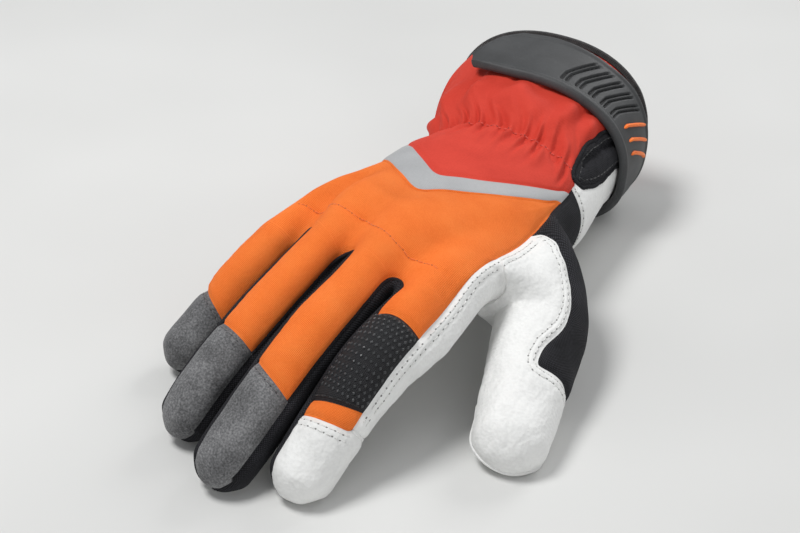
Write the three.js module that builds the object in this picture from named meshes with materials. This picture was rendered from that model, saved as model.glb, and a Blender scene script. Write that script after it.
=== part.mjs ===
import * as THREE from 'three';

// Work glove for the right hand, filled out as if worn, lying palm down.
// Lengths are in millimetres and angles in degrees.
// The hand is laid out in its own frame first: x to the thumb side, y to the
// forearm, z out of the back of the hand, with the wrist at the origin.

// Walls of the sewn panels and the air left at each seam.
const LEATHER_WALL = 1.6;
const CLOTH_WALL = 1.5;
const SEAM_GAP = 0.3;
const BINDING_LIFT = 0.7;
const BINDING_WALL = 3.0;

// How the hand lies over the floor.
const HAND_PITCH = -11.6;
const HAND_ROLL = 12.2;
const WRIST_HEIGHT = 29.4;

// Quads across the back of a finger, across a web and down the side of a finger.
const BACK_QUADS = 4;
const WEB_QUADS = 1;
const SIDE_QUADS = 3;

// The back of a finger spans this angle to each side of its top line.
const BACK_HALF_ANGLE = 55;
const JOINT_SPREAD = [8, 9, 7];

// Fingers: knuckle position, bone lengths, half widths and half heights at the
// knuckle, the two joints and the tip, then bend angles of the three joints.
// Each seam is given by its distance from the knuckle and its slant.
const FINGERS = [
  {
    name: 'little', knuckle: [-36.5, -76, -10.5], bones: [36, 23, 22], splay: -8.4, bend: [39, 9, 0],
    width: [9.5, 10.2, 9.9, 9.5], height: [11, 10.5, 9.8, 9.3], bulge: 0,
    seams: [{ panel: 'back_panel', rows: 5, at: 54, slant: 3 }],
    cap: 'little_tip_cap', capRows: 3,
  },
  {
    name: 'ring', knuckle: [-15.5, -90, -3], bones: [46, 29, 24], splay: -2, bend: [34, 6, 16],
    width: [10.0, 11.3, 11, 10.5], height: [13, 11.8, 11, 10.3], bulge: 0,
    seams: [{ panel: 'back_panel', rows: 5, at: 60, slant: 1.5 }],
    cap: 'ring_tip_cap', capRows: 3,
  },
  {
    name: 'middle', knuckle: [6, -96, 0], bones: [50, 32, 24], splay: 1.4, bend: [29, 16, 1],
    width: [10.4, 11.6, 11.5, 11], height: [13.4, 12.2, 11.5, 10.8], bulge: 0,
    seams: [{ panel: 'back_panel', rows: 5, at: 66, slant: 3 }],
    cap: 'middle_tip_cap', capRows: 3,
  },
  {
    name: 'index', knuckle: [28, -93, -1], bones: [46, 28, 24], splay: 3, bend: [22, 27, 0],
    width: [10.7, 11.7, 11.6, 11.2], height: [13.2, 12.2, 11.6, 11], bulge: 7,
    seams: [
      { panel: 'back_panel', rows: 2, at: 31.5, slant: 0 },
      { panel: 'touch_patch', rows: 4, at: 64, slant: -2.5 },
      { panel: 'index_back_band', rows: 1, at: 70.5, slant: -1.5 },
    ],
    cap: 'index_tip_cap', capRows: 2,
  },
];

// Distance from its knuckle at which each finger leaves its neighbours: on the
// outer side and the thumb side, seen on the back and on the palm.
const FINGER_ROOTS = [
  { outerBack: 19, thumbBack: 19, outerPalm: 25, thumbPalm: 25 },
  { outerBack: 8, thumbBack: 15, outerPalm: 12, thumbPalm: 24 },
  { outerBack: 10, thumbBack: 13, outerPalm: 20, thumbPalm: 23 },
  { outerBack: 15, thumbBack: 15, outerPalm: 24, thumbPalm: 24 },
];
const FOURCHETTES = ['fourchette_little_ring', 'fourchette_ring_middle', 'fourchette_middle_index'];
// Where the loose leather on the thumb side of the index finger swells most.
const BULGE = { at: 16, reach: 46 };

// Thumb: root position, bone lengths, azimuth and dip of the two directions.
const THUMB = {
  root: [31, -16, -9], bones: [46, 34, 42], azimuth: [28, 23.7], dip: [-0.8, 18.5], turn: 10,
  width: [19, 18, 15.6, 13.6], height: [17, 15.5, 14, 12.8], tip: 13,
  // Angles of the four corners of the thumb hole, from the top toward the front.
  corners: [25, -60, -140, -240],
  // Rows along the thumb, the turn of the seams and the row where the back panel ends.
  rows: [60, 66, 72, 78, 86, 92, 98], blendRows: 7, backRows: 11,
  twist: 24, twistFrom: 62, twistTo: 82,
};
// Share of the thumb direction and of straight out, where the thumb leaves the
// hand: on the back, wrist, palm and index sides. Under the palm it leaves downward.
const THUMB_LEAVES = [[0.55, 0.75], [0.8, 0.5], [0.6, 0.6], [0, 1]];
const THUMB_LEAVES_DOWN = { below: -4, over: 14 };
const THUMB_HOLE_PALM_QUADS = 2;
const THUMB_BACK_FIRST = 3;
const THUMB_BACK_PALM_QUADS = 2;

// Blunt ends of fingers and thumb: angles from the tip line of the last rings.
const TIP_RINGS = [75, 60];

// The cuff runs off from the wrist along one direction and is cut square to another.
const CUFF_RUN = { yaw: -19, pitch: 10 };
const CUFF_CUT = { yaw: -10, pitch: 6, roll: 10 };
// Sections of cuff and hand: distance along the cuff, shift, share of the cuff
// cut, half width, rise to the back, drop to the palm, and the angles where the
// thumb side begins at the back, ends at the palm, and where the other side begins.
const SECTIONS = [
  {
    along: 68, shift: [3, 0, -1], cut: 1, half: 42,
    rise: 34, drop: 33, thumbBack: 28, thumbPalm: 20, outer: 20,
  },
  {
    along: 46, shift: [0, 0, -1], cut: 1, half: 43,
    rise: 33, drop: 32, thumbBack: 34, thumbPalm: 20, outer: 20,
  },
  {
    along: 24, shift: [-1, 0, 0], cut: 0.8, half: 40,
    rise: 30, drop: 28, thumbBack: 46, thumbPalm: 20, outer: 20,
  },
  {
    along: 0, shift: [1, 0, 0], cut: 0.35, half: 36,
    rise: 25.5, drop: 25, thumbBack: 44, thumbPalm: 20, outer: 20,
  },
  {
    along: 0, shift: [2, -30, 0], cut: 0, half: 38,
    rise: 21, drop: 22, thumbBack: 39, thumbPalm: 22, outer: 20,
  },
  {
    along: 0, shift: [4, -60, 0], cut: 0, half: 38,
    rise: 17, drop: 18, thumbBack: 34, thumbPalm: 22, outer: 20,
  },
];
const SECTION_FULLNESS = 0.9;

// Rows of the hand. A row value counts sections from the cuff mouth, 6 is the
// knuckles and 7 the finger roots. Each row has a value on the little finger
// side, one on the thumb side, and a dip toward the fingers at the chevron.
const ROWS = [
  { outer: 0, thumb: 0, dip: 0 },
  { name: 'bindingEdge', outer: 0.14, thumb: 0.14, dip: 0 },
  { outer: 0.55, thumb: 0.55, dip: 0 },
  { outer: 1, thumb: 1, dip: 0 },
  { outer: 1.5, thumb: 1.5, dip: 0 },
  { outer: 2, thumb: 2, dip: 0 },
  { name: 'gussetNarrow', outer: 2.5, thumb: 2.5, dip: 0 },
  { outer: 2.85, thumb: 2.85, dip: 0 },
  { name: 'gather', outer: 3.15, thumb: 3.15, dip: 0 },
  { outer: 3.32, thumb: 3.22, dip: 0.22 },
  { outer: 3.49, thumb: 3.29, dip: 0.46 },
  { name: 'wristSeam', outer: 3.66, thumb: 3.36, dip: 0.7 },
  { outer: 3.83, thumb: 3.43, dip: 0.93 },
  { name: 'bandTop', outer: 4, thumb: 3.5, dip: 1.16 },
  { name: 'bandLow', outer: 4.7, thumb: 3.75, dip: 1.08 },
  { name: 'holeTop', outer: 4.95, thumb: 4.05, dip: 0.92 },
  { outer: 5.15, thumb: 4.38, dip: 0.74 },
  { outer: 5.35, thumb: 4.7, dip: 0.56 },
  { outer: 5.5, thumb: 5, dip: 0.38 },
  { outer: 5.65, thumb: 5.27, dip: 0.2 },
  { name: 'holeLow', outer: 5.85, thumb: 5.55, dip: 0.08 },
  { outer: 6.15, thumb: 5.95, dip: 0 },
  { outer: 6.5, thumb: 6.45, dip: 0 },
  { outer: 7, thumb: 7, dip: 0 },
];
const CHEVRON_APEX = 0.46;

// Wrist strap: angles round the cuff from the fixed end to the free tip, wall,
// clearance over the cuff, and how far the free tip stands off.
const STRAP = {
  from: -48, to: 125, steps: 30, acrossQuads: 4,
  wall: 3, clear: 0.6, tipLift: 3, tipLiftFrom: 98,
};
// Row values of the two edges of the strap, at angles round the cuff.
const STRAP_EDGES = {
  at: [-48, 0, 40, 60, 90, 104, 112, 118, 125],
  top: [0.5, 0.6, 0.51, 0.54, 0.44, 0.48, 0.78, 1.16, 1.56],
  low: [1.5, 1.84, 1.9, 1.93, 1.92, 1.92, 1.92, 1.9, 1.8],
};
// Three short ribs in the hi-vis colour, laid over the strap.
const RIBS = { at: [24.5, 15, 6], arc: 2.4, top: 0.72, low: 1.5, slant: -12, rise: 0.9, clear: 0.3 };

const COLORS = {
  back_panel: 0xf57c32, index_back_band: 0xf57c32, touch_patch: 0x2b2b2b,
  little_tip_cap: 0x696969, ring_tip_cap: 0x696969, middle_tip_cap: 0x696969, index_tip_cap: 0xebebeb,
  fourchette_little_ring: 0x1c1c1c, fourchette_ring_middle: 0x1c1c1c, fourchette_middle_index: 0x1c1c1c,
  palm_leather: 0xebebeb, thumb_leather: 0xebebeb, cuff_palm: 0xebebeb, thumb_back_panel: 0x232323,
  reflective_band: 0xa5a5a5, cuff_back: 0xd94b3c, cuff_binding: 0x1c1c1c, slit_gusset: 0x181818,
  wrist_strap: 0x4b4b4b, strap_rib_1: 0xf57c32, strap_rib_2: 0xf57c32, strap_rib_3: 0xf57c32,
};
const LEATHERS = ['palm_leather', 'thumb_leather', 'cuff_palm', 'index_tip_cap',
  'little_tip_cap', 'ring_tip_cap', 'middle_tip_cap'];

// Small helpers.
const radians = THREE.MathUtils.degToRad;
const vector = (list) => new THREE.Vector3(...list);
const clamp = THREE.MathUtils.clamp;
const mix = (a, b, t) => a + (b - a) * t;
const mixVectors = (a, b, t) => a.clone().lerp(b, t);
const smooth = (t) => THREE.MathUtils.smoothstep(t, 0, 1);
const steps = (count) => Array.from({ length: count + 1 }, (_, i) => i);
const HAND_X = new THREE.Vector3(1, 0, 0);
const HAND_Z = new THREE.Vector3(0, 0, 1);

function direction(yaw, pitch) {
  const y = radians(yaw);
  const p = radians(pitch);
  return new THREE.Vector3(Math.sin(y) * Math.cos(p), Math.cos(y) * Math.cos(p), Math.sin(p));
}

function interpolate(x, knots, values) {
  const last = knots.length - 1;
  if (x <= knots[0]) return values[0];
  if (x >= knots[last]) return values[last];
  const i = knots.findIndex((knot) => knot > x) - 1;
  return mix(values[i], values[i + 1], (x - knots[i]) / (knots[i + 1] - knots[i]));
}

// Point on a cubic between two points with a tangent at each.
function hermite(p0, m0, p1, m1, u) {
  const u2 = u * u;
  const u3 = u2 * u;
  return new THREE.Vector3()
    .addScaledVector(p0, 2 * u3 - 3 * u2 + 1)
    .addScaledVector(m0, u3 - 2 * u2 + u)
    .addScaledVector(p1, 3 * u2 - 2 * u3)
    .addScaledVector(m1, u3 - u2);
}

// Smooth curve through key points, with a given unit tangent at its end.
function curvePoint(keys, endTangent, value) {
  const last = keys.length - 1;
  const spans = keys.slice(1).map((key, i) => Math.max(key.distanceTo(keys[i]), 1e-6));
  const slope = (i) => keys[i + 1].clone().sub(keys[i]).divideScalar(spans[i]);
  const tangent = (i) => {
    if (i === 0) return slope(0);
    if (i === last) return endTangent.clone();
    const before = slope(i - 1).multiplyScalar(spans[i]);
    const after = slope(i).multiplyScalar(spans[i - 1]);
    return before.add(after).divideScalar(spans[i - 1] + spans[i]);
  };
  const v = clamp(value, 0, last - 1e-9);
  const i = Math.floor(v);
  return hermite(
    keys[i], tangent(i).multiplyScalar(spans[i]),
    keys[i + 1], tangent(i + 1).multiplyScalar(spans[i]), v - i,
  );
}

// A tube swept along a bending centre line. Its section at a distance s is an
// ellipse, read by an angle from the top toward the thumb side. The cone angle
// is 90 on the tube and falls to 0 at the very end of the blunt tip.
class SweptTube {
  constructor(root, bones, width, height, tip, axesAt, bulge = 0) {
    this.joints = bones.reduce((sum, bone) => [...sum, sum[sum.length - 1] + bone], [0]);
    this.end = this.joints[this.joints.length - 1] - tip;
    this.knots = [...this.joints.slice(0, -1), this.end];
    this.width = width;
    this.height = height;
    this.tip = tip;
    this.bulge = bulge;
    this.axesAt = axesAt;
    this.root = vector(root);
  }

  center(s) {
    const stride = 0.5;
    const count = Math.max(1, Math.ceil(s / stride));
    const step = s / count;
    const point = this.root.clone();
    for (let i = 0; i < count; i += 1) {
      point.addScaledVector(this.axesAt((i + 0.5) * step).along, step);
    }
    return point;
  }

  halfWidth(s) {
    return interpolate(s, this.knots, this.width);
  }

  halfHeight(s) {
    return interpolate(s, this.knots, this.height);
  }

  point(distance, angle, cone = 90) {
    const s = Math.min(distance, this.end);
    const { along, side, up } = this.axesAt(s);
    const sine = Math.sin(radians(angle));
    const cosine = Math.cos(radians(angle));
    let width = this.halfWidth(s);
    if (this.bulge > 0 && sine > 0) {
      const near = clamp(1 - Math.abs(distance - BULGE.at) / BULGE.reach, 0, 1);
      width += this.bulge * near * sine * sine * clamp(0.7 - cosine, 0, 1.2);
    }
    const ringShare = Math.sin(radians(cone));
    return this.center(s)
      .addScaledVector(side, width * sine * ringShare)
      .addScaledVector(up, this.halfHeight(s) * cosine * ringShare)
      .addScaledVector(along, this.tip * Math.cos(radians(cone)));
  }
}

function fingerTube(finger) {
  const splay = radians(finger.splay);
  const forward = new THREE.Vector3(Math.sin(splay), -Math.cos(splay), 0);
  const side = new THREE.Vector3(Math.cos(splay), Math.sin(splay), 0);
  const joints = [0, finger.bones[0], finger.bones[0] + finger.bones[1]];
  const axesAt = (s) => {
    const bent = finger.bend.reduce((sum, angle, j) => {
      const reach = JOINT_SPREAD[j];
      return sum + radians(angle) * smooth((s - joints[j] + reach) / (2 * reach));
    }, 0);
    const along = forward.clone().multiplyScalar(Math.cos(bent)).addScaledVector(HAND_Z, -Math.sin(bent));
    const up = forward.clone().multiplyScalar(Math.sin(bent)).addScaledVector(HAND_Z, Math.cos(bent));
    return { along, side, up };
  };
  const tip = finger.width[3];
  return new SweptTube(finger.knuckle, finger.bones, finger.width, finger.height, tip, axesAt, finger.bulge);
}

function thumbDirection(i) {
  const azimuth = radians(THUMB.azimuth[i]);
  const dip = radians(THUMB.dip[i]);
  return new THREE.Vector3(
    Math.sin(azimuth) * Math.cos(dip), -Math.cos(azimuth) * Math.cos(dip), -Math.sin(dip),
  );
}

function thumbAxes(s) {
  const share = smooth((s - THUMB.bones[0] + THUMB.turn) / (2 * THUMB.turn));
  const along = mixVectors(thumbDirection(0), thumbDirection(1), share).normalize();
  const side = HAND_Z.clone().cross(along).negate().normalize();
  const up = side.clone().cross(along).normalize();
  if (side.x > 0) side.negate();
  if (up.z < 0) up.negate();
  return { along, side, up };
}

const TUBES = FINGERS.map(fingerTube);
const THUMB_TUBE = new SweptTube(THUMB.root, THUMB.bones, THUMB.width, THUMB.height, THUMB.tip, thumbAxes);
const KNUCKLES = FINGERS.map((finger) => vector(finger.knuckle));
const KNUCKLE_PITCH = [0, 1, 2].map((i) => KNUCKLES[i].distanceTo(KNUCKLES[i + 1]));

// Sections of the hand and cuff.
const cuffRun = direction(CUFF_RUN.yaw, CUFF_RUN.pitch);
const cuffCut = direction(CUFF_CUT.yaw, CUFF_CUT.pitch);
const cuffX = cuffCut.clone().cross(HAND_Z).normalize();
const cuffZ = cuffX.clone().cross(cuffCut).normalize();

// Point on a section, by an angle from the thumb side toward the back.
function sectionPoint(section, degrees, offset = 0) {
  const roll = radians(CUFF_CUT.roll * section.cut);
  const x = mixVectors(HAND_X, cuffX, section.cut).normalize();
  const z = mixVectors(HAND_Z, cuffZ, section.cut).normalize();
  const rolledX = x.clone().multiplyScalar(Math.cos(roll)).addScaledVector(z, Math.sin(roll));
  const rolledZ = z.clone().multiplyScalar(Math.cos(roll)).addScaledVector(x, -Math.sin(roll));
  const full = (value) => Math.sign(value) * Math.abs(value) ** SECTION_FULLNESS;
  const cosine = full(Math.cos(radians(degrees)));
  const sine = full(Math.sin(radians(degrees)));
  const height = (sine > 0 ? section.rise : section.drop) + offset;
  return cuffRun.clone().multiplyScalar(section.along).add(vector(section.shift))
    .addScaledVector(rolledX, (section.half + offset) * cosine)
    .addScaledVector(rolledZ, height * sine);
}

// Columns across the hand: four quads to each finger and one to each web.
const COLUMNS = 4 * BACK_QUADS + 3 * WEB_QUADS;

// Which finger or web a column belongs to, with its place across it.
function columnPlace(column) {
  const period = BACK_QUADS + WEB_QUADS;
  const finger = Math.min(3, Math.floor(column / period));
  const rest = column - finger * period;
  if (rest <= BACK_QUADS) return { web: false, finger, across: 2 * rest / BACK_QUADS - 1 };
  return { web: true, finger, across: (rest - BACK_QUADS) / WEB_QUADS };
}

// Knuckle row, with facing 1 on the back and -1 on the palm.
function knucklePoint(i, across, facing) {
  const tube = TUBES[i];
  const { side, up } = tube.axesAt(0);
  const toOuter = i > 0 ? KNUCKLE_PITCH[i - 1] / 2 - 1 : tube.halfWidth(0) * 0.35;
  const toThumb = i < 3 ? KNUCKLE_PITCH[i] / 2 - 1 : tube.halfWidth(0) * 0.8;
  const lateral = across * (across > 0 ? toThumb : toOuter);
  const height = tube.halfHeight(0) * (Math.cos(radians(BACK_HALF_ANGLE * across)) + 1) / 2;
  return tube.center(0).addScaledVector(side, lateral).addScaledVector(up, height * facing);
}

function rootDistance(i, across, facing) {
  const roots = FINGER_ROOTS[i];
  const outer = facing > 0 ? roots.outerBack : roots.outerPalm;
  const thumb = facing > 0 ? roots.thumbBack : roots.thumbPalm;
  return mix(outer, thumb, (across + 1) / 2);
}

function topAngle(across, facing) {
  return facing > 0 ? BACK_HALF_ANGLE * across : 180 - BACK_HALF_ANGLE * across;
}

function rootPoint(i, across, facing) {
  return TUBES[i].point(rootDistance(i, across, facing), topAngle(across, facing));
}

// Side strips: share 0 at the back edge and 1 at the palm edge, side 1 to the thumb.
function sideAngle(share, side) {
  return side * mix(BACK_HALF_ANGLE, 180 - BACK_HALF_ANGLE, share);
}

function sideDistance(i, side, share) {
  const roots = FINGER_ROOTS[i];
  if (side > 0) return mix(roots.thumbBack, roots.thumbPalm, share);
  return mix(roots.outerBack, roots.outerPalm, share);
}

// Key points of one column over the back or the palm.
function columnKeys(column, facing) {
  const keys = SECTIONS.map((section) => {
    const thumbEdge = facing > 0 ? section.thumbBack : section.thumbPalm;
    const degrees = mix(180 - section.outer, thumbEdge, column / COLUMNS);
    return sectionPoint(section, facing * degrees);
  });
  const { web, finger, across } = columnPlace(column);
  const rootAxis = (i, place) => TUBES[i].axesAt(rootDistance(i, place, facing)).along;
  if (!web) {
    keys.push(knucklePoint(finger, across, facing), rootPoint(finger, across, facing));
    return { keys, tangent: rootAxis(finger, across) };
  }
  keys.push(
    mixVectors(knucklePoint(finger, 1, facing), knucklePoint(finger + 1, -1, facing), across),
    mixVectors(rootPoint(finger, 1, facing), rootPoint(finger + 1, -1, facing), across),
  );
  return { keys, tangent: mixVectors(rootAxis(finger, 1), rootAxis(finger + 1, -1), across) };
}

// Key points of one line down the side of the hand.
function sideKeys(share, side) {
  const keys = SECTIONS.map((section) => {
    if (side > 0) return sectionPoint(section, mix(section.thumbBack, -section.thumbPalm, share));
    return sectionPoint(section, 180 - section.outer * (1 - 2 * share));
  });
  const i = side > 0 ? 3 : 0;
  const tube = TUBES[i];
  const backKey = knucklePoint(i, side, 1);
  const palmKey = knucklePoint(i, side, -1);
  const reach = tube.halfWidth(0) * (side > 0 ? 1.4 : 0.75);
  const middleKey = tube.center(0).addScaledVector(tube.axesAt(0).side, side * reach);
  keys.push(new THREE.Vector3()
    .addScaledVector(backKey, 2 * (share - 0.5) * (share - 1))
    .addScaledVector(middleKey, -4 * share * (share - 1))
    .addScaledVector(palmKey, 2 * share * (share - 0.5)));
  const distance = sideDistance(i, side, share);
  keys.push(tube.point(distance, sideAngle(share, side)));
  return { keys, tangent: tube.axesAt(distance).along };
}

const ROW_INDEX = Object.fromEntries(ROWS.flatMap((row, i) => (row.name ? [[row.name, i]] : [])));

function rowValue(row, across, facing) {
  const { outer, thumb, dip } = ROWS[row];
  const value = mix(outer, thumb, across);
  if (facing < 0) return value;
  const reach = across < CHEVRON_APEX ? CHEVRON_APEX : 1 - CHEVRON_APEX;
  return value + dip * Math.max(0, 1 - Math.abs(across - CHEVRON_APEX) / reach);
}

function handPoint(column, row, facing) {
  const { keys, tangent } = columnKeys(column, facing);
  return curvePoint(keys, tangent, rowValue(row, column / COLUMNS, facing));
}

function handSidePoint(share, row, side) {
  const { keys, tangent } = sideKeys(share, side);
  return curvePoint(keys, tangent, rowValue(row, side > 0 ? 1 : 0, -1));
}

// The quads of the whole glove, each with the name of its panel.
const quads = [];

function addGrid(points, panelOf) {
  for (let r = 0; r + 1 < points.length; r += 1) {
    for (let c = 0; c + 1 < points[r].length; c += 1) {
      const panel = panelOf(r, c);
      if (panel) {
        const [here, next] = [points[r], points[r + 1]];
        quads.push({ panel, corners: [here[c], next[c], next[c + 1], here[c + 1]] });
      }
    }
  }
}

// Hand and cuff.
function cuffOrHand(row, cuffPanel, lowPanel) {
  if (row < ROW_INDEX.bindingEdge) return 'cuff_binding';
  return row < ROW_INDEX.wristSeam ? cuffPanel : lowPanel;
}

function backPanelOf(row) {
  if (row < ROW_INDEX.bindingEdge) return 'cuff_binding';
  if (row < ROW_INDEX.bandTop) return 'cuff_back';
  return row < ROW_INDEX.bandLow ? 'reflective_band' : 'back_panel';
}

function inThumbHole(row) {
  return row >= ROW_INDEX.holeTop && row < ROW_INDEX.holeLow;
}

function palmPanelOf(row, column) {
  if (inThumbHole(row) && column < THUMB_HOLE_PALM_QUADS) return null;
  return cuffOrHand(row, 'cuff_palm', 'palm_leather');
}

function thumbSidePanelOf(row, column) {
  if (inThumbHole(row)) return null;
  if (row >= ROW_INDEX.holeLow) return 'palm_leather';
  const gussetColumns = row < ROW_INDEX.gussetNarrow ? 2 : 1;
  const isGusset = row < ROW_INDEX.gather && column < gussetColumns;
  return cuffOrHand(row, isGusset ? 'slit_gusset' : 'cuff_palm', 'thumb_back_panel');
}

function outerSidePanelOf(row, column) {
  const onPalm = column < 1 && row >= ROW_INDEX.bindingEdge && row < ROW_INDEX.bandTop;
  return onPalm ? cuffOrHand(row, 'cuff_palm', 'palm_leather') : backPanelOf(row);
}

function addHand() {
  const rows = steps(ROWS.length - 1);
  const columns = steps(COLUMNS);
  const shares = steps(SIDE_QUADS);
  addGrid(rows.map((r) => columns.map((c) => handPoint(c, r, 1))), backPanelOf);
  addGrid(rows.map((r) => columns.map((c) => handPoint(COLUMNS - c, r, -1))), palmPanelOf);
  addGrid(rows.map((r) => shares.map((q) => handSidePoint(q / SIDE_QUADS, r, 1))), thumbSidePanelOf);
  addGrid(rows.map((r) => shares.map((q) => handSidePoint(1 - q / SIDE_QUADS, r, -1))), outerSidePanelOf);
}

// Distances of the rows of one line along a finger, from its root to its end.
function fingerRows(finger, tube, start, across) {
  const rows = [];
  let from = start;
  const stops = finger.seams.map((seam) => ({ rows: seam.rows, at: seam.at + seam.slant * across }));
  stops.push({ rows: finger.capRows, at: tube.end });
  stops.forEach((stop) => {
    for (let j = 0; j < stop.rows; j += 1) rows.push(mix(from, stop.at, j / stop.rows));
    from = stop.at;
  });
  rows.push(tube.end);
  return rows;
}

function fingerPanelOf(finger, row) {
  let last = 0;
  const seam = finger.seams.find((entry) => {
    last += entry.rows;
    return row < last;
  });
  return seam ? seam.panel : finger.cap;
}

// One strip along a finger: lines with a start, a place across and an angle.
function fingerStrip(finger, tube, lines) {
  const columns = lines.map((line) => {
    const along = fingerRows(finger, tube, line.start, line.across).map((s) => tube.point(s, line.angle));
    const over = TIP_RINGS.map((cone) => tube.point(tube.end, line.angle, cone));
    return [...along, ...over];
  });
  return columns[0].map((_, r) => columns.map((column) => column[r]));
}

// Closing grid over a blunt end. The perimeter runs down the first column,
// along the last row, up the last column and back along the first row.
function endGrid(rows, columns, angleAt, pointAt) {
  return steps(rows).map((a) => steps(columns).map((b) => {
    const x = 2 * a / rows - 1;
    const y = 2 * b / columns - 1;
    const reach = Math.max(Math.abs(x), Math.abs(y));
    if (reach < 1e-9) return pointAt(0, 0);
    const px = x / reach;
    const py = y / reach;
    let place = 2 * rows + columns + (1 - py) / 2 * columns;
    if (py <= -1 + 1e-9) place = (px + 1) / 2 * rows;
    else if (px >= 1 - 1e-9) place = rows + (py + 1) / 2 * columns;
    else if (py >= 1 - 1e-9) place = rows + columns + (1 - px) / 2 * rows;
    return pointAt(angleAt(place), reach * TIP_RINGS[TIP_RINGS.length - 1]);
  }));
}

function fingerEndAngle(place) {
  const first = SIDE_QUADS;
  const second = first + BACK_QUADS;
  const third = second + SIDE_QUADS;
  if (place <= first) return sideAngle(place / SIDE_QUADS, 1);
  if (place <= second) return topAngle(1 - 2 * (place - first) / BACK_QUADS, -1);
  if (place <= third) return sideAngle(1 - (place - second) / SIDE_QUADS, -1) + 360;
  return topAngle(-1 + 2 * (place - third) / BACK_QUADS, 1) + 360;
}

function sideStripPanelOf(i, side, row) {
  if (side > 0 && i === 3) return 'palm_leather';
  if (side < 0 && i === 0) return fingerPanelOf(FINGERS[0], row);
  return FOURCHETTES[side > 0 ? i : i - 1];
}

function addFinger(i) {
  const finger = FINGERS[i];
  const tube = TUBES[i];
  [1, -1].forEach((facing) => {
    const lines = steps(BACK_QUADS).map((c) => {
      const across = facing * (2 * c / BACK_QUADS - 1);
      return { across, start: rootDistance(i, across, facing), angle: topAngle(across, facing) };
    });
    const panelOf = facing > 0 ? (r) => fingerPanelOf(finger, r) : () => 'palm_leather';
    addGrid(fingerStrip(finger, tube, lines), panelOf);
  });
  [1, -1].forEach((side) => {
    const lines = steps(SIDE_QUADS).map((c) => {
      const share = side > 0 ? c / SIDE_QUADS : 1 - c / SIDE_QUADS;
      return { across: side, start: sideDistance(i, side, share), angle: sideAngle(share, side) };
    });
    addGrid(fingerStrip(finger, tube, lines), (r) => sideStripPanelOf(i, side, r));
  });
  const tipPoint = (angle, cone) => tube.point(tube.end, angle, cone);
  const end = endGrid(SIDE_QUADS, BACK_QUADS, fingerEndAngle, tipPoint);
  addGrid(end.map((row) => row.reverse()), (r) => (r < 2 ? finger.cap : 'palm_leather'));
}

// The floor of the web between finger i and the next one.
function addWeb(i) {
  const points = steps(SIDE_QUADS).map((q) => {
    const share = q / SIDE_QUADS;
    const near = TUBES[i].point(sideDistance(i, 1, share), sideAngle(share, 1));
    const far = TUBES[i + 1].point(sideDistance(i + 1, -1, share), sideAngle(share, -1));
    return steps(WEB_QUADS).map((w) => mixVectors(near, far, w / WEB_QUADS));
  });
  addGrid(points, () => FOURCHETTES[i]);
}

// The thumb leaves the hand through a four sided hole. Its rim runs up the
// back edge, down the wrist edge, along the palm edge and back by the index.
const HOLE_ROWS = ROW_INDEX.holeLow - ROW_INDEX.holeTop;
const HOLE_ACROSS = SIDE_QUADS + THUMB_HOLE_PALM_QUADS;
const HOLE_RIM = 2 * (HOLE_ROWS + HOLE_ACROSS);
const HOLE_SIDES = [0, HOLE_ROWS, HOLE_ROWS + HOLE_ACROSS, 2 * HOLE_ROWS + HOLE_ACROSS, HOLE_RIM];

function holeSide(place) {
  const k = (place + HOLE_RIM) % HOLE_RIM;
  return HOLE_SIDES.findIndex((start, i) => k >= start && k < HOLE_SIDES[i + 1]);
}

function acrossHole(j, row) {
  if (j <= SIDE_QUADS) return handSidePoint(j / SIDE_QUADS, row, 1);
  return handPoint(COLUMNS - (j - SIDE_QUADS), row, -1);
}

function holePoint(place) {
  const k = place % HOLE_RIM;
  const side = holeSide(k);
  const along = k - HOLE_SIDES[side];
  if (side === 0) return handSidePoint(0, ROW_INDEX.holeLow - along, 1);
  if (side === 1) return acrossHole(along, ROW_INDEX.holeTop);
  if (side === 2) return handPoint(COLUMNS - THUMB_HOLE_PALM_QUADS, ROW_INDEX.holeTop + along, -1);
  return acrossHole(HOLE_ACROSS - along, ROW_INDEX.holeLow);
}

function holeAngle(place) {
  return interpolate(place, HOLE_SIDES, [...THUMB.corners, THUMB.corners[0] - 360]);
}

function holeLeaving(place) {
  const shares = [-2, -1, 0, 1].map((d) => THUMB_LEAVES[holeSide(place + d)]);
  const along = shares.reduce((sum, share) => sum + share[0], 0);
  const out = shares.reduce((sum, share) => sum + share[1], 0);
  const down = Math.min(0, (holePoint(place).z - THUMB_LEAVES_DOWN.below) / THUMB_LEAVES_DOWN.over);
  const outward = HAND_X.clone().addScaledVector(HAND_Z, down).normalize();
  return thumbDirection(0).multiplyScalar(along).addScaledVector(outward, out).normalize();
}

function thumbTwist(s) {
  return THUMB.twist * smooth((s - THUMB.twistFrom) / (THUMB.twistTo - THUMB.twistFrom));
}

function thumbPoint(place, row) {
  const angle = holeAngle(place % HOLE_RIM);
  if (row >= THUMB.blendRows) {
    const s = [...THUMB.rows, THUMB_TUBE.end][row - THUMB.blendRows];
    return THUMB_TUBE.point(s, angle + thumbTwist(s));
  }
  const start = holePoint(place);
  const end = THUMB_TUBE.point(THUMB.rows[0], angle);
  const reach = start.distanceTo(end);
  const leave = holeLeaving(place).multiplyScalar(reach);
  const arrive = THUMB_TUBE.axesAt(THUMB.rows[0]).along.clone().multiplyScalar(reach);
  return hermite(start, leave, end, arrive, row / THUMB.blendRows);
}

function thumbPanelOf(row, place) {
  const last = HOLE_ROWS + SIDE_QUADS + THUMB_BACK_PALM_QUADS;
  const onBack = place >= THUMB_BACK_FIRST && place < last && row < THUMB.backRows;
  return onBack ? 'thumb_back_panel' : 'thumb_leather';
}

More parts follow.
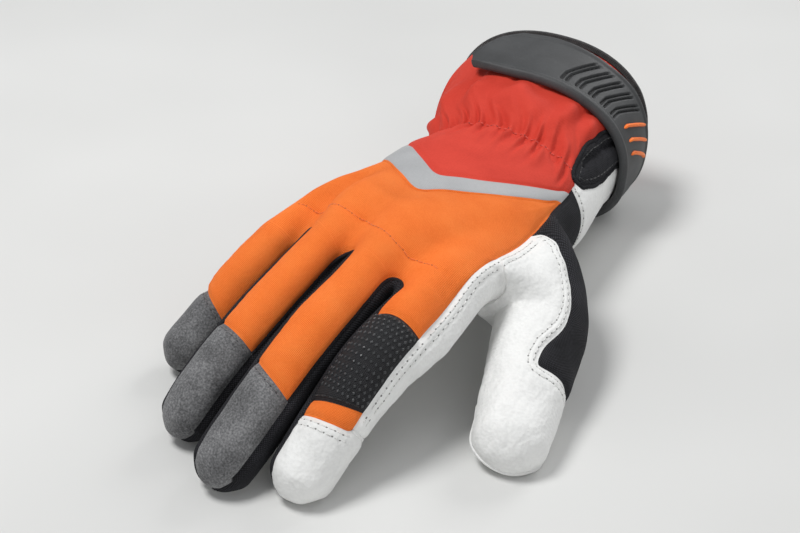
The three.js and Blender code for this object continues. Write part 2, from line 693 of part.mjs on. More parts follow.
function addThumb() {
  const places = steps(HOLE_RIM);
  const rows = steps(THUMB.blendRows + THUMB.rows.length);
  const twist = thumbTwist(THUMB_TUBE.end);
  const tipPoint = (angle, cone) => THUMB_TUBE.point(THUMB_TUBE.end, angle + twist, cone);
  const grid = rows.map((r) => places.map((k) => thumbPoint(k, r)));
  TIP_RINGS.forEach((cone) => grid.push(places.map((k) => tipPoint(holeAngle(k % HOLE_RIM), cone))));
  addGrid(grid, thumbPanelOf);
  const end = endGrid(HOLE_ROWS, HOLE_ACROSS, holeAngle, tipPoint);
  addGrid(end.reverse(), () => 'thumb_leather');
}

// From the frame of the hand to the floor, where the leather lies flat.
const handTurn = new THREE.Matrix4().makeRotationX(radians(HAND_PITCH))
  .multiply(new THREE.Matrix4().makeRotationY(radians(HAND_ROLL)));

function onFloor(point) {
  const placed = point.clone().applyMatrix4(handTurn);
  placed.z = Math.max(placed.z + WRIST_HEIGHT, 0);
  return placed;
}

// Welded surface shared by every panel, with a normal at each point.
function weld(list) {
  const ids = new Map();
  const points = [];
  const faces = list.map(({ panel, corners }) => {
    const index = corners.map((corner) => {
      const placed = onFloor(corner);
      const key = placed.toArray().map((value) => Math.round(value * 200)).join(' ');
      if (!ids.has(key)) {
        ids.set(key, points.length);
        points.push(placed);
      }
      return ids.get(key);
    });
    return { panel, index };
  });
  const normals = points.map(() => new THREE.Vector3());
  faces.forEach(({ index }) => {
    const [a, b, c, d] = index.map((id) => points[id]);
    const normal = c.clone().sub(a).cross(d.clone().sub(b));
    index.forEach((id) => normals[id].add(normal));
  });
  normals.forEach((normal) => normal.normalize());
  return { points, normals, faces };
}

// Seam edges of a panel: those that no other quad of the panel shares.
function seamEdges(faces) {
  const open = new Map();
  faces.forEach(({ index }) => index.forEach((from, i) => {
    const to = index[(i + 1) % 4];
    if (open.has(`${to} ${from}`)) open.delete(`${to} ${from}`);
    else open.set(`${from} ${to}`, [from, to]);
  }));
  return [...open.values()];
}

// A closed solid from the quads of one panel: the outer skin stands off the
// surface by the lift, the inner skin lies the wall below it, and both are drawn
// back from the seams by half the seam gap.
function panelSolid(surface, faces, lift, wall) {
  const edges = seamEdges(faces);
  const draw = new Map();
  edges.forEach(([from, to]) => {
    const along = surface.points[to].clone().sub(surface.points[from]);
    [from, to].forEach((id) => {
      const inward = surface.normals[id].clone().cross(along).normalize();
      draw.set(id, [...(draw.get(id) ?? []), inward]);
    });
  });
  const used = [...new Set(faces.flatMap(({ index }) => index))];
  const slot = new Map(used.map((id, i) => [id, i]));
  const outer = [];
  const inner = [];
  used.forEach((id) => {
    const point = surface.points[id].clone();
    const pulls = draw.get(id);
    if (pulls) {
      const inward = pulls.reduce((sum, pull) => sum.add(pull), new THREE.Vector3()).normalize();
      const lean = Math.max(inward.dot(pulls[0]), 0.5);
      point.addScaledVector(inward, SEAM_GAP / 2 / lean);
    }
    outer.push(point.clone().addScaledVector(surface.normals[id], lift));
    inner.push(point.clone().addScaledVector(surface.normals[id], lift - wall));
  });
  outer.forEach((point) => point.setZ(Math.max(point.z, 0)));
  inner.forEach((point) => point.setZ(Math.max(point.z, 0)));
  const triangles = [];
  const count = used.length;
  faces.forEach(({ index }) => {
    const [a, b, c, d] = index.map((id) => slot.get(id));
    triangles.push([a, b, c], [a, c, d]);
    triangles.push([count + a, count + c, count + b], [count + a, count + d, count + c]);
  });
  edges.forEach(([from, to]) => {
    const a = slot.get(from);
    const b = slot.get(to);
    triangles.push([b, a, count + a], [b, count + a, count + b]);
  });
  return solid([...outer, ...inner], triangles);
}

function solid(points, triangles) {
  const geometry = new THREE.BufferGeometry();
  const positions = points.flatMap((point) => point.toArray());
  geometry.setAttribute('position', new THREE.Float32BufferAttribute(positions, 3));
  geometry.setIndex(triangles.flat());
  geometry.computeVertexNormals();
  return geometry;
}

// A block bent over the cuff: columns of points along it, an outer and an inner skin.
function bentBlock(columns, rows, pointAt) {
  const outer = [];
  const inner = [];
  const id = (c, r) => c * (rows + 1) + r;
  steps(columns).forEach((c) => steps(rows).forEach((r) => {
    outer.push(onFloor(pointAt(c / columns, r / rows, true)));
    inner.push(onFloor(pointAt(c / columns, r / rows, false)));
  }));
  const count = outer.length;
  const triangles = [];
  const quad = (a, b, c, d) => triangles.push([a, c, b], [a, d, c]);
  for (let c = 0; c < columns; c += 1) {
    for (let r = 0; r < rows; r += 1) {
      const corners = [id(c, r), id(c + 1, r), id(c + 1, r + 1), id(c, r + 1)];
      quad(...corners);
      quad(...corners.map((corner) => corner + count).reverse());
    }
    quad(id(c, 0), id(c, 0) + count, id(c + 1, 0) + count, id(c + 1, 0));
    quad(id(c + 1, rows), id(c + 1, rows) + count, id(c, rows) + count, id(c, rows));
  }
  for (let r = 0; r < rows; r += 1) {
    quad(id(0, r + 1), id(0, r + 1) + count, id(0, r) + count, id(0, r));
    quad(id(columns, r), id(columns, r) + count, id(columns, r + 1) + count, id(columns, r + 1));
  }
  return solid([...outer, ...inner], triangles);
}

// Point at an angle round the cuff and a row value along it, standing off it.
function cuffPoint(degrees, value, offset) {
  const keys = SECTIONS.map((section) => sectionPoint(section, degrees, offset));
  const last = keys.length - 1;
  return curvePoint(keys, keys[last].clone().sub(keys[last - 1]).normalize(), value);
}

function strapOffset(degrees) {
  const toTip = (degrees - STRAP.tipLiftFrom) / (STRAP.to - STRAP.tipLiftFrom);
  return STRAP.clear + STRAP.tipLift * smooth(toTip);
}

function strapSolid() {
  return bentBlock(STRAP.steps, STRAP.acrossQuads, (u, w, isOuter) => {
    const degrees = mix(STRAP.from, STRAP.to, u);
    const top = interpolate(degrees, STRAP_EDGES.at, STRAP_EDGES.top);
    const low = interpolate(degrees, STRAP_EDGES.at, STRAP_EDGES.low);
    return cuffPoint(degrees, mix(low, top, w), strapOffset(degrees) + (isOuter ? STRAP.wall : 0));
  });
}

function ribSolid(at) {
  return bentBlock(2, 6, (u, w, isOuter) => {
    const degrees = at + RIBS.arc * (u - 0.5) + RIBS.slant * (w - 0.5);
    const base = strapOffset(degrees) + STRAP.wall + RIBS.clear;
    return cuffPoint(degrees, mix(RIBS.low, RIBS.top, w), base + (isOuter ? RIBS.rise : 0));
  });
}

function makeMesh(name, geometry) {
  const rubber = name.startsWith('wrist_strap') || name.startsWith('strap_rib');
  const material = new THREE.MeshStandardMaterial({
    color: COLORS[name], roughness: rubber ? 0.55 : 0.85, metalness: 0,
  });
  material.name = `${name}_material`;
  const mesh = new THREE.Mesh(geometry, material);
  mesh.name = name;
  return mesh;
}

addHand();
FINGERS.forEach((_, i) => addFinger(i));
FOURCHETTES.forEach((_, i) => addWeb(i));
addThumb();

const surface = weld(quads);
const meshes = [...new Set(surface.faces.map((face) => face.panel))].map((name) => {
  const faces = surface.faces.filter((face) => face.panel === name);
  const bound = name === 'cuff_binding';
  const wall = LEATHERS.includes(name) ? LEATHER_WALL : CLOTH_WALL;
  const lift = bound ? BINDING_LIFT : 0;
  return makeMesh(name, panelSolid(surface, faces, lift, bound ? BINDING_WALL : wall));
});
meshes.push(makeMesh('wrist_strap', strapSolid()));
RIBS.at.forEach((at, i) => meshes.push(makeMesh(`strap_rib_${i + 1}`, ribSolid(at))));

// The origin is the middle of the box round the glove, on the floor.
const box = new THREE.Box3();
meshes.forEach((mesh) => {
  mesh.geometry.computeBoundingBox();
  box.union(mesh.geometry.boundingBox);
});
const middle = box.getCenter(new THREE.Vector3());
meshes.forEach((mesh) => mesh.geometry.translate(-middle.x, -middle.y, 0));

const glove = new THREE.Group();
glove.name = 'chainsaw_glove';
glove.add(...meshes);
export default glove;
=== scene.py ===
import math

import bpy
import numpy as np
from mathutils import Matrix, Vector, noise
from mathutils.bvhtree import BVHTree
from mathutils.kdtree import KDTree


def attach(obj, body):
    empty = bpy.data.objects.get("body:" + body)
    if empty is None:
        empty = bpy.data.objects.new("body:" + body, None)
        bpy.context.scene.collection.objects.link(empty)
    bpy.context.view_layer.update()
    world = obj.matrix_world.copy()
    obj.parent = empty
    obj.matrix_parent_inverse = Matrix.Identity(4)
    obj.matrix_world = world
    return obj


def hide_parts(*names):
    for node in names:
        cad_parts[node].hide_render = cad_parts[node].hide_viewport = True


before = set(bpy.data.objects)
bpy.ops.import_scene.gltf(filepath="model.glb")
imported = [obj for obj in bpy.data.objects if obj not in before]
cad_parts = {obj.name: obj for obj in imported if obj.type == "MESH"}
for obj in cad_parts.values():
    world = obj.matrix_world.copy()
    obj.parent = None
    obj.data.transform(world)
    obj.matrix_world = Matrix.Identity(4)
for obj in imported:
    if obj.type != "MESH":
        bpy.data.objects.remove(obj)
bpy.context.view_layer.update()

# Looks of a right-hand work glove, filled out as if worn, lying palm down.
# Lengths are in millimetres and angles in degrees until the meshes are made in metres.
# The hand is laid out in its own frame first: x to the thumb side, y to the
# forearm, z out of the back of the hand, with the wrist at the origin.

MM = 0.001
MIDDLE = (8.7283, -59.3168)

# Walls and the shape of the seams.
LEATHER_WALL = 1.6
CLOTH_WALL = 1.5
BINDING_OUT = 1.0
BINDING_IN = 2.2
BINDING_ROUND = 1.6
SURFACE_LEVELS = 3
SEAM_DEPTH = 0.95
SEAM_WIDTH = 1.25

# How the hand lies over the floor.
HAND_PITCH = -11.6
HAND_ROLL = 12.2
WRIST_HEIGHT = 29.4

BACK_QUADS = 4
WEB_QUADS = 1
SIDE_QUADS = 3
BACK_HALF_ANGLE = 55
JOINT_SPREAD = [8, 9, 7]

# Fingers: knuckle position, bone lengths, half widths and half heights at the
# knuckle, the two joints and the tip, then bend angles of the three joints.
FINGERS = [
    {
        "name": "little", "knuckle": [-36.5, -76, -10.5], "bones": [36, 23, 22], "splay": -8.4,
        "bend": [39, 9, 0], "width": [9.5, 10.2, 9.9, 9.5], "height": [11, 10.5, 9.8, 9.3],
        "bulge": 0, "cap": "little_tip_cap", "cap_rows": 3,
        "seams": [{"panel": "back_panel", "rows": 5, "at": 54, "slant": 3}],
    },
    {
        "name": "ring", "knuckle": [-15.5, -90, -3], "bones": [46, 29, 24], "splay": -2,
        "bend": [34, 6, 16], "width": [10.0, 11.3, 11, 10.5], "height": [13, 11.8, 11, 10.3],
        "bulge": 0, "cap": "ring_tip_cap", "cap_rows": 3,
        "seams": [{"panel": "back_panel", "rows": 5, "at": 60, "slant": 1.5}],
    },
    {
        "name": "middle", "knuckle": [6, -96, 0], "bones": [50, 32, 24], "splay": 1.4,
        "bend": [29, 16, 1], "width": [10.4, 11.6, 11.5, 11], "height": [13.4, 12.2, 11.5, 10.8],
        "bulge": 0, "cap": "middle_tip_cap", "cap_rows": 3,
        "seams": [{"panel": "back_panel", "rows": 5, "at": 66, "slant": 3}],
    },
    {
        "name": "index", "knuckle": [28, -93, -1], "bones": [46, 28, 24], "splay": 3,
        "bend": [22, 27, 0], "width": [10.7, 11.7, 11.6, 11.2], "height": [13.2, 12.2, 11.6, 11],
        "bulge": 7, "cap": "index_tip_cap", "cap_rows": 2,
        "seams": [
            {"panel": "back_panel", "rows": 2, "at": 31.5, "slant": 0},
            {"panel": "touch_patch", "rows": 4, "at": 64, "slant": -2.5},
            {"panel": "index_back_band", "rows": 1, "at": 70.5, "slant": -1.5},
        ],
    },
]
FINGER_ROOTS = [
    {"outer_back": 19, "thumb_back": 19, "outer_palm": 25, "thumb_palm": 25},
    {"outer_back": 8, "thumb_back": 15, "outer_palm": 12, "thumb_palm": 24},
    {"outer_back": 10, "thumb_back": 13, "outer_palm": 20, "thumb_palm": 23},
    {"outer_back": 15, "thumb_back": 15, "outer_palm": 24, "thumb_palm": 24},
]
FOURCHETTES = ["fourchette_little_ring", "fourchette_ring_middle", "fourchette_middle_index"]
BULGE = {"at": 16, "reach": 46}

THUMB = {
    "root": [31, -16, -9], "bones": [46, 34, 42], "azimuth": [28, 23.7], "dip": [-0.8, 18.5],
    "turn": 10, "width": [19, 18, 15.6, 13.6], "height": [17, 15.5, 14, 12.8], "tip": 13,
    "corners": [25, -60, -140, -240], "rows": [60, 66, 72, 78, 86, 92, 98], "blend_rows": 7,
    "back_rows": 11, "twist": 24, "twist_from": 62, "twist_to": 82,
}
THUMB_LEAVES = [[0.55, 0.75], [0.8, 0.5], [0.6, 0.6], [0, 1]]
THUMB_LEAVES_DOWN = {"below": -4, "over": 14}
THUMB_HOLE_PALM_QUADS = 2
THUMB_BACK_FIRST = 3
THUMB_BACK_PALM_QUADS = 2
TIP_RINGS = [75, 60]

# The cuff runs off from the wrist along one direction and is cut square to another.
CUFF_RUN = {"yaw": -19, "pitch": 10}
CUFF_CUT = {"yaw": -10, "pitch": 6, "roll": 10}
SECTION_KEYS = ["along", "shift", "cut", "half", "rise", "drop", "thumb_back", "thumb_palm", "outer"]
SECTIONS = [dict(zip(SECTION_KEYS, row)) for row in [
    [68, [3, 0, -1], 1, 42, 34, 33, 28, 20, 20],
    [46, [0, 0, -1], 1, 43, 33, 32, 34, 20, 20],
    [24, [-1, 0, 0], 0.8, 40, 30, 28, 46, 20, 20],
    [0, [1, 0, 0], 0.35, 36, 25.5, 25, 44, 20, 20],
    [0, [2, -30, 0], 0, 38, 21, 22, 39, 22, 20],
    [0, [4, -60, 0], 0, 38, 17, 18, 34, 22, 20],
]]
SECTION_FULLNESS = 0.9

# Rows of the hand: value on the outer side, on the thumb side, dip at the chevron.
ROWS = [
    [0, 0, 0], [0.14, 0.14, 0], [0.55, 0.55, 0], [1, 1, 0], [1.5, 1.5, 0], [2, 2, 0],
    [2.5, 2.5, 0], [2.85, 2.85, 0], [3.15, 3.15, 0], [3.32, 3.22, 0.22], [3.49, 3.29, 0.46],
    [3.66, 3.36, 0.7], [3.83, 3.43, 0.93], [4, 3.5, 1.16], [4.7, 3.75, 1.08],
    [4.95, 4.05, 0.92], [5.15, 4.38, 0.74], [5.35, 4.7, 0.56], [5.5, 5, 0.38],
    [5.65, 5.27, 0.2], [5.85, 5.55, 0.08], [6.15, 5.95, 0], [6.5, 6.45, 0], [7, 7, 0],
]
BINDING_EDGE, GUSSET_NARROW, GATHER, WRIST_SEAM = 1, 6, 8, 11
BAND_TOP, BAND_LOW, HOLE_TOP, HOLE_LOW = 13, 14, 15, 20
GATHER_VALUE = 3.15
CHEVRON_APEX = 0.46

STRAP = {
    "from": -48, "to": 125, "wall": 3, "clear": 0.6, "tip_lift": 3, "tip_lift_from": 98,
    "edge_share": 0.045, "edge_round": 1.1, "under_round": 0.5, "start_round": 2.0, "end_round": 1.6,
}
STRAP_STEPS = {"around": 420, "across": 72, "sections": 25}
STRAP_EDGES = {
    "at": [-48, 0, 40, 60, 90, 104, 112, 118, 125],
    "top": [0.5, 0.6, 0.51, 0.54, 0.44, 0.48, 0.78, 1.16, 1.56],
    "low": [1.5, 1.84, 1.9, 1.93, 1.92, 1.92, 1.92, 1.9, 1.8],
}
# The raised border of the strap: shares of its breadth, and the rise in millimetres.
BORDER = {"breadth": 0.06, "fade": 0.05, "rise": 0.55}
# Pairs of grooves over the strap: where they lie round the cuff, how they bend and their section, and how
# deep into a groove the painted shade starts.
GROOVES = {
    "at": [75.6, 67, 58.4, 49.6, 40.8], "pair": 2.8, "bend_at": 0.34, "slant": 23, "lean": -9,
    "from": 0.14, "to": 0.86, "fade": 0.05, "half": 0.45, "slope": 0.65, "depth": 1.15, "painted_shade_from": 0.45,
}
RIBS = {
    "at": [29.5, 20, 11], "arc": 2.6, "from": 0.24, "to": 0.88, "rise": 1.1, "sink": 0.1,
    "steps": 28, "sides": 12,
}


# Small helpers.

def vec(values):
    return np.array(values, float)


def unit(vector):
    return vector / np.linalg.norm(vector)


def mix(a, b, t):
    return a + (b - a) * t


def smooth(t):
    t = min(max(t, 0.0), 1.0)
    return t * t * (3 - 2 * t)


def sine(degrees):
    return math.sin(math.radians(degrees))


def cosine(degrees):
    return math.cos(math.radians(degrees))


HAND_X = vec([1, 0, 0])
HAND_Z = vec([0, 0, 1])


def hermite(p0, m0, p1, m1, u):
    u2 = u * u
    u3 = u2 * u
    return p0 * (2 * u3 - 3 * u2 + 1) + m0 * (u3 - 2 * u2 + u) + p1 * (3 * u2 - 2 * u3) + m1 * (u3 - u2)


def curve_point(keys, end_tangent, value):
    last = len(keys) - 1
    spans = [max(np.linalg.norm(keys[i + 1] - keys[i]), 1e-6) for i in range(last)]

    def slope(i):
        return (keys[i + 1] - keys[i]) / spans[i]

    def tangent(i):
        if i == 0:
            return slope(0)
        if i == last:
            return end_tangent
        return (slope(i - 1) * spans[i] + slope(i) * spans[i - 1]) / (spans[i - 1] + spans[i])

    v = min(max(value, 0), last - 1e-9)
    i = int(v)
    return hermite(keys[i], tangent(i) * spans[i], keys[i + 1], tangent(i + 1) * spans[i], v - i)


class SweptTube:
    """A tube along a bending centre line, read by an angle from the top toward the thumb side."""

    STRIDE = 0.25

    def __init__(self, root, bones, width, height, tip, axes_at, bulge=0):
        self.joints = [0.0] + [float(x) for x in np.cumsum(bones)]
        self.end = self.joints[-1] - tip
        self.knots = self.joints[:-1] + [self.end]
        self.width, self.height, self.tip, self.bulge = width, height, tip, bulge
        self.axes_at = axes_at
        self.path = [vec(root)]
        for i in range(int(self.joints[-1] / self.STRIDE) + 2):
            self.path.append(self.path[-1] + axes_at((i + 0.5) * self.STRIDE)[0] * self.STRIDE)

    def center(self, s):
        place = s / self.STRIDE
        i = int(place)
        return mix(self.path[i], self.path[i + 1], place - i)

    def half_width(self, s):
        return float(np.interp(s, self.knots, self.width))

    def half_height(self, s):
        return float(np.interp(s, self.knots, self.height))

    def point(self, distance, angle, cone=90):
        s = min(distance, self.end)
        along, side, up = self.axes_at(s)
        width = self.half_width(s)
        if self.bulge > 0 and sine(angle) > 0:
            near = min(max(1 - abs(distance - BULGE["at"]) / BULGE["reach"], 0), 1)
            width += self.bulge * near * sine(angle) ** 2 * min(max(0.7 - cosine(angle), 0), 1.2)
        share = sine(cone)
        out = side * (width * sine(angle) * share) + up * (self.half_height(s) * cosine(angle) * share)
        return self.center(s) + out + along * (self.tip * cosine(cone))


def finger_tube(finger):
    splay = finger["splay"]
    forward = vec([sine(splay), -cosine(splay), 0])
    side = vec([cosine(splay), sine(splay), 0])
    joints = [0, finger["bones"][0], finger["bones"][0] + finger["bones"][1]]

    def axes_at(s):
        bent = 0.0
        for joint, angle, reach in zip(joints, finger["bend"], JOINT_SPREAD):
            bent += angle * smooth((s - joint + reach) / (2 * reach))
        along = forward * cosine(bent) - HAND_Z * sine(bent)
        up = forward * sine(bent) + HAND_Z * cosine(bent)
        return along, side, up

    tip = finger["width"][3]
    return SweptTube(finger["knuckle"], finger["bones"], finger["width"], finger["height"], tip,
                     axes_at, finger["bulge"])


def thumb_direction(i):
    azimuth, dip = THUMB["azimuth"][i], THUMB["dip"][i]
    return vec([sine(azimuth) * cosine(dip), -cosine(azimuth) * cosine(dip), -sine(dip)])


def thumb_axes(s):
    share = smooth((s - THUMB["bones"][0] + THUMB["turn"]) / (2 * THUMB["turn"]))
    along = unit(mix(thumb_direction(0), thumb_direction(1), share))
    side = -unit(np.cross(HAND_Z, along))
    up = unit(np.cross(side, along))
    if side[0] > 0:
        side = -side
    if up[2] < 0:
        up = -up
    return along, side, up


TUBES = [finger_tube(finger) for finger in FINGERS]
THUMB_TUBE = SweptTube(THUMB["root"], THUMB["bones"], THUMB["width"], THUMB["height"], THUMB["tip"],
                       thumb_axes)
KNUCKLES = [vec(finger["knuckle"]) for finger in FINGERS]
KNUCKLE_PITCH = [np.linalg.norm(KNUCKLES[i + 1] - KNUCKLES[i]) for i in range(3)]


# Sections of the hand and cuff.

def direction(yaw, pitch):
    return vec([sine(yaw) * cosine(pitch), cosine(yaw) * cosine(pitch), sine(pitch)])


cuff_run = direction(CUFF_RUN["yaw"], CUFF_RUN["pitch"])
cuff_cut = direction(CUFF_CUT["yaw"], CUFF_CUT["pitch"])
cuff_x = unit(np.cross(cuff_cut, HAND_Z))
cuff_z = unit(np.cross(cuff_x, cuff_cut))


def full(value):
    return math.copysign(abs(value) ** SECTION_FULLNESS, value)


def section_point(section, degrees, offset=0):
    roll = CUFF_CUT["roll"] * section["cut"]
    x = unit(mix(HAND_X, cuff_x, section["cut"]))
    z = unit(mix(HAND_Z, cuff_z, section["cut"]))
    rolled_x = x * cosine(roll) + z * sine(roll)
    rolled_z = z * cosine(roll) - x * sine(roll)
    across, over = full(cosine(degrees)), full(sine(degrees))
    height = (section["rise"] if over > 0 else section["drop"]) + offset
    base = cuff_run * section["along"] + vec(section["shift"])
    return base + rolled_x * ((section["half"] + offset) * across) + rolled_z * (height * over)


COLUMNS = 4 * BACK_QUADS + 3 * WEB_QUADS


def column_place(column):
    period = BACK_QUADS + WEB_QUADS
    finger = min(3, int(column // period))
    rest = column - finger * period
    if rest <= BACK_QUADS:
        return False, finger, 2 * rest / BACK_QUADS - 1
    return True, finger, (rest - BACK_QUADS) / WEB_QUADS


def knuckle_point(i, across, facing):
    tube = TUBES[i]
    _, side, up = tube.axes_at(0)
    to_outer = KNUCKLE_PITCH[i - 1] / 2 - 1 if i > 0 else tube.half_width(0) * 0.35
    to_thumb = KNUCKLE_PITCH[i] / 2 - 1 if i < 3 else tube.half_width(0) * 0.8
    lateral = across * (to_thumb if across > 0 else to_outer)
    height = tube.half_height(0) * (cosine(BACK_HALF_ANGLE * across) + 1) / 2
    return tube.center(0) + side * lateral + up * (height * facing)


def root_distance(i, across, facing):
    roots = FINGER_ROOTS[i]
    outer = roots["outer_back"] if facing > 0 else roots["outer_palm"]
    thumb = roots["thumb_back"] if facing > 0 else roots["thumb_palm"]
    return mix(outer, thumb, (across + 1) / 2)


def top_angle(across, facing):
    return BACK_HALF_ANGLE * across if facing > 0 else 180 - BACK_HALF_ANGLE * across


def root_point(i, across, facing):
    return TUBES[i].point(root_distance(i, across, facing), top_angle(across, facing))


def side_angle(share, side):
    return side * mix(BACK_HALF_ANGLE, 180 - BACK_HALF_ANGLE, share)


def side_distance(i, side, share):
    roots = FINGER_ROOTS[i]
    if side > 0:
        return mix(roots["thumb_back"], roots["thumb_palm"], share)
    return mix(roots["outer_back"], roots["outer_palm"], share)


def column_keys(column, facing):
    keys = []
    for section in SECTIONS:
        edge = section["thumb_back"] if facing > 0 else section["thumb_palm"]
        degrees = mix(180 - section["outer"], edge, column / COLUMNS)
        keys.append(section_point(section, facing * degrees))
    web, finger, across = column_place(column)

    def root_axis(i, place):
        return TUBES[i].axes_at(root_distance(i, place, facing))[0]

    if not web:
        keys += [knuckle_point(finger, across, facing), root_point(finger, across, facing)]
        return keys, root_axis(finger, across)
    keys.append(mix(knuckle_point(finger, 1, facing), knuckle_point(finger + 1, -1, facing), across))
    keys.append(mix(root_point(finger, 1, facing), root_point(finger + 1, -1, facing), across))
    return keys, mix(root_axis(finger, 1), root_axis(finger + 1, -1), across)


def side_keys(share, side):
    keys = []
    for section in SECTIONS:
        if side > 0:
            degrees = mix(section["thumb_back"], -section["thumb_palm"], share)
        else:
            degrees = 180 - section["outer"] * (1 - 2 * share)
        keys.append(section_point(section, degrees))
    i = 3 if side > 0 else 0
    tube = TUBES[i]
    reach = tube.half_width(0) * (1.4 if side > 0 else 0.75)
    middle = tube.center(0) + tube.axes_at(0)[1] * (side * reach)
    back = knuckle_point(i, side, 1) * (2 * (share - 0.5) * (share - 1))
    palm = knuckle_point(i, side, -1) * (2 * share * (share - 0.5))
    keys.append(back + middle * (-4 * share * (share - 1)) + palm)
    distance = side_distance(i, side, share)
    keys.append(tube.point(distance, side_angle(share, side)))
    return keys, tube.axes_at(distance)[0]


def row_value(row, across, facing):
    outer, thumb, dip = ROWS[row]
    value = mix(outer, thumb, across)
    if facing < 0:
        return value
    reach = CHEVRON_APEX if across < CHEVRON_APEX else 1 - CHEVRON_APEX
    return value + dip * max(0, 1 - abs(across - CHEVRON_APEX) / reach)


def hand_at(column, value, facing=1):
    keys, tangent = column_keys(column, facing)
    return curve_point(keys, tangent, value)


def hand_point(column, row, facing):
    return hand_at(column, row_value(row, column / COLUMNS, facing), facing)


def hand_side_point(share, row, side):
    keys, tangent = side_keys(share, side)
    return curve_point(keys, tangent, row_value(row, 1 if side > 0 else 0, -1))


# The cage of the glove: quads with the name of their panel, and at each corner a
# place in millimetres for the weave and a pair of numbers that say where it is.

HAND, FINGER, WEB, THUMB_PART = 0, 1, 2, 3
cage = []


def add_grid(points, panel_of, region, places):
    rows, columns = len(points), len(points[0])
    grid = np.array(points)
    across = np.linalg.norm(np.diff(grid, axis=1), axis=2).mean(axis=0)
    along = np.linalg.norm(np.diff(grid, axis=0), axis=2).mean(axis=1)
    u = np.concatenate([[0], np.cumsum(across)])
    v = np.concatenate([[0], np.cumsum(along)])
    for r in range(rows - 1):
        for c in range(columns - 1):
            panel = panel_of(r, c)
            if panel:
                ids = [(r, c), (r + 1, c), (r + 1, c + 1), (r, c + 1)]
                cage.append({
                    "panel": panel, "region": region,
                    "corners": [grid[a, b] for a, b in ids],
                    "lay": [(u[b], v[a]) for a, b in ids],
                    "place": [places[a][b] for a, b in ids],
                })


def cuff_or_hand(row, cuff_panel, low_panel):
    if row < BINDING_EDGE:
        return "cuff_binding"
    return cuff_panel if row < WRIST_SEAM else low_panel


def back_panel_of(row, _=0):
    if row < BINDING_EDGE:
        return "cuff_binding"
    if row < BAND_TOP:
        return "cuff_back"
    return "reflective_band" if row < BAND_LOW else "back_panel"


def in_thumb_hole(row):
    return HOLE_TOP <= row < HOLE_LOW


def palm_panel_of(row, column):
    if in_thumb_hole(row) and column < THUMB_HOLE_PALM_QUADS:
        return None
    return cuff_or_hand(row, "cuff_palm", "palm_leather")


def thumb_side_panel_of(row, column):
    if in_thumb_hole(row):
        return None
    if row >= HOLE_LOW:
        return "palm_leather"
    gusset = row < GATHER and column < (2 if row < GUSSET_NARROW else 1)
    return cuff_or_hand(row, "slit_gusset" if gusset else "cuff_palm", "thumb_back_panel")


def outer_side_panel_of(row, column):
    if column < 1 and BINDING_EDGE <= row < BAND_TOP:
        return cuff_or_hand(row, "cuff_palm", "palm_leather")
    return back_panel_of(row)


def add_hand():
    rows = range(len(ROWS))
    columns = range(COLUMNS + 1)
    shares = range(SIDE_QUADS + 1)

    def add(steps, point_at, panel_of, place_at):
        points = [[point_at(step, row) for step in steps] for row in rows]
        add_grid(points, panel_of, HAND, [[place_at(step, row) for step in steps] for row in rows])

    add(columns, lambda c, r: hand_point(c, r, 1), back_panel_of,
        lambda c, r: (c, row_value(r, c / COLUMNS, 1)))
    add(columns, lambda c, r: hand_point(COLUMNS - c, r, -1), palm_panel_of,
        lambda c, r: (COLUMNS + SIDE_QUADS + c, row_value(r, 1 - c / COLUMNS, -1)))
    add(shares, lambda q, r: hand_side_point(q / SIDE_QUADS, r, 1), thumb_side_panel_of,
        lambda q, r: (COLUMNS + q, row_value(r, 1, -1)))
    add(shares, lambda q, r: hand_side_point(1 - q / SIDE_QUADS, r, -1), outer_side_panel_of,
        lambda q, r: (q - SIDE_QUADS, row_value(r, 0, -1)))


def finger_rows(finger, tube, start, across):
    stops = [(seam["rows"], seam["at"] + seam["slant"] * across) for seam in finger["seams"]]
    stops.append((finger["cap_rows"], tube.end))
    rows = []
    begin = start
    for count, at in stops:
        rows += [mix(begin, at, j / count) for j in range(count)]
        begin = at
    return rows + [tube.end]


def finger_panel_of(finger, row):
    last = 0
    for seam in finger["seams"]:
        last += seam["rows"]
        if row < last:
            return seam["panel"]
    return finger["cap"]


def finger_strip(finger, tube, lines):
    points, places = [], []
    for start, across, angle in lines:
        along = finger_rows(finger, tube, start, across)
        points.append([tube.point(s, angle) for s in along]
                      + [tube.point(tube.end, angle, cone) for cone in TIP_RINGS])
        places.append([(angle, s) for s in along]
                      + [(angle, tube.end + tube.tip * cosine(cone)) for cone in TIP_RINGS])
    flip = [list(row) for row in zip(*points)]
    return flip, [list(row) for row in zip(*places)]


def end_grid(rows, columns, angle_at, point_at):
    grid = []
    for a in range(rows + 1):
        line = []
        for b in range(columns + 1):
            x = 2 * a / rows - 1
            y = 2 * b / columns - 1
            reach = max(abs(x), abs(y))
            if reach < 1e-9:
                line.append(point_at(0, 0))
                continue
            px, py = x / reach, y / reach
            if py <= -1 + 1e-9:
                place = (px + 1) / 2 * rows
            elif px >= 1 - 1e-9:
                place = rows + (py + 1) / 2 * columns
            elif py >= 1 - 1e-9:
                place = rows + columns + (1 - px) / 2 * rows
            else:
                place = 2 * rows + columns + (1 - py) / 2 * columns
            line.append(point_at(angle_at(place), reach * TIP_RINGS[-1]))
        grid.append(line)
    return grid


def finger_end_angle(place):
    first = SIDE_QUADS
    second = first + BACK_QUADS
    third = second + SIDE_QUADS
    if place <= first:
        return side_angle(place / SIDE_QUADS, 1)
    if place <= second:
        return top_angle(1 - 2 * (place - first) / BACK_QUADS, -1)
    if place <= third:
        return side_angle(1 - (place - second) / SIDE_QUADS, -1) + 360
    return top_angle(-1 + 2 * (place - third) / BACK_QUADS, 1) + 360


def side_strip_panel_of(i, side, row):
    if side > 0 and i == 3:
        return "palm_leather"
    if side < 0 and i == 0:
        return finger_panel_of(FINGERS[0], row)
    return FOURCHETTES[i if side > 0 else i - 1]


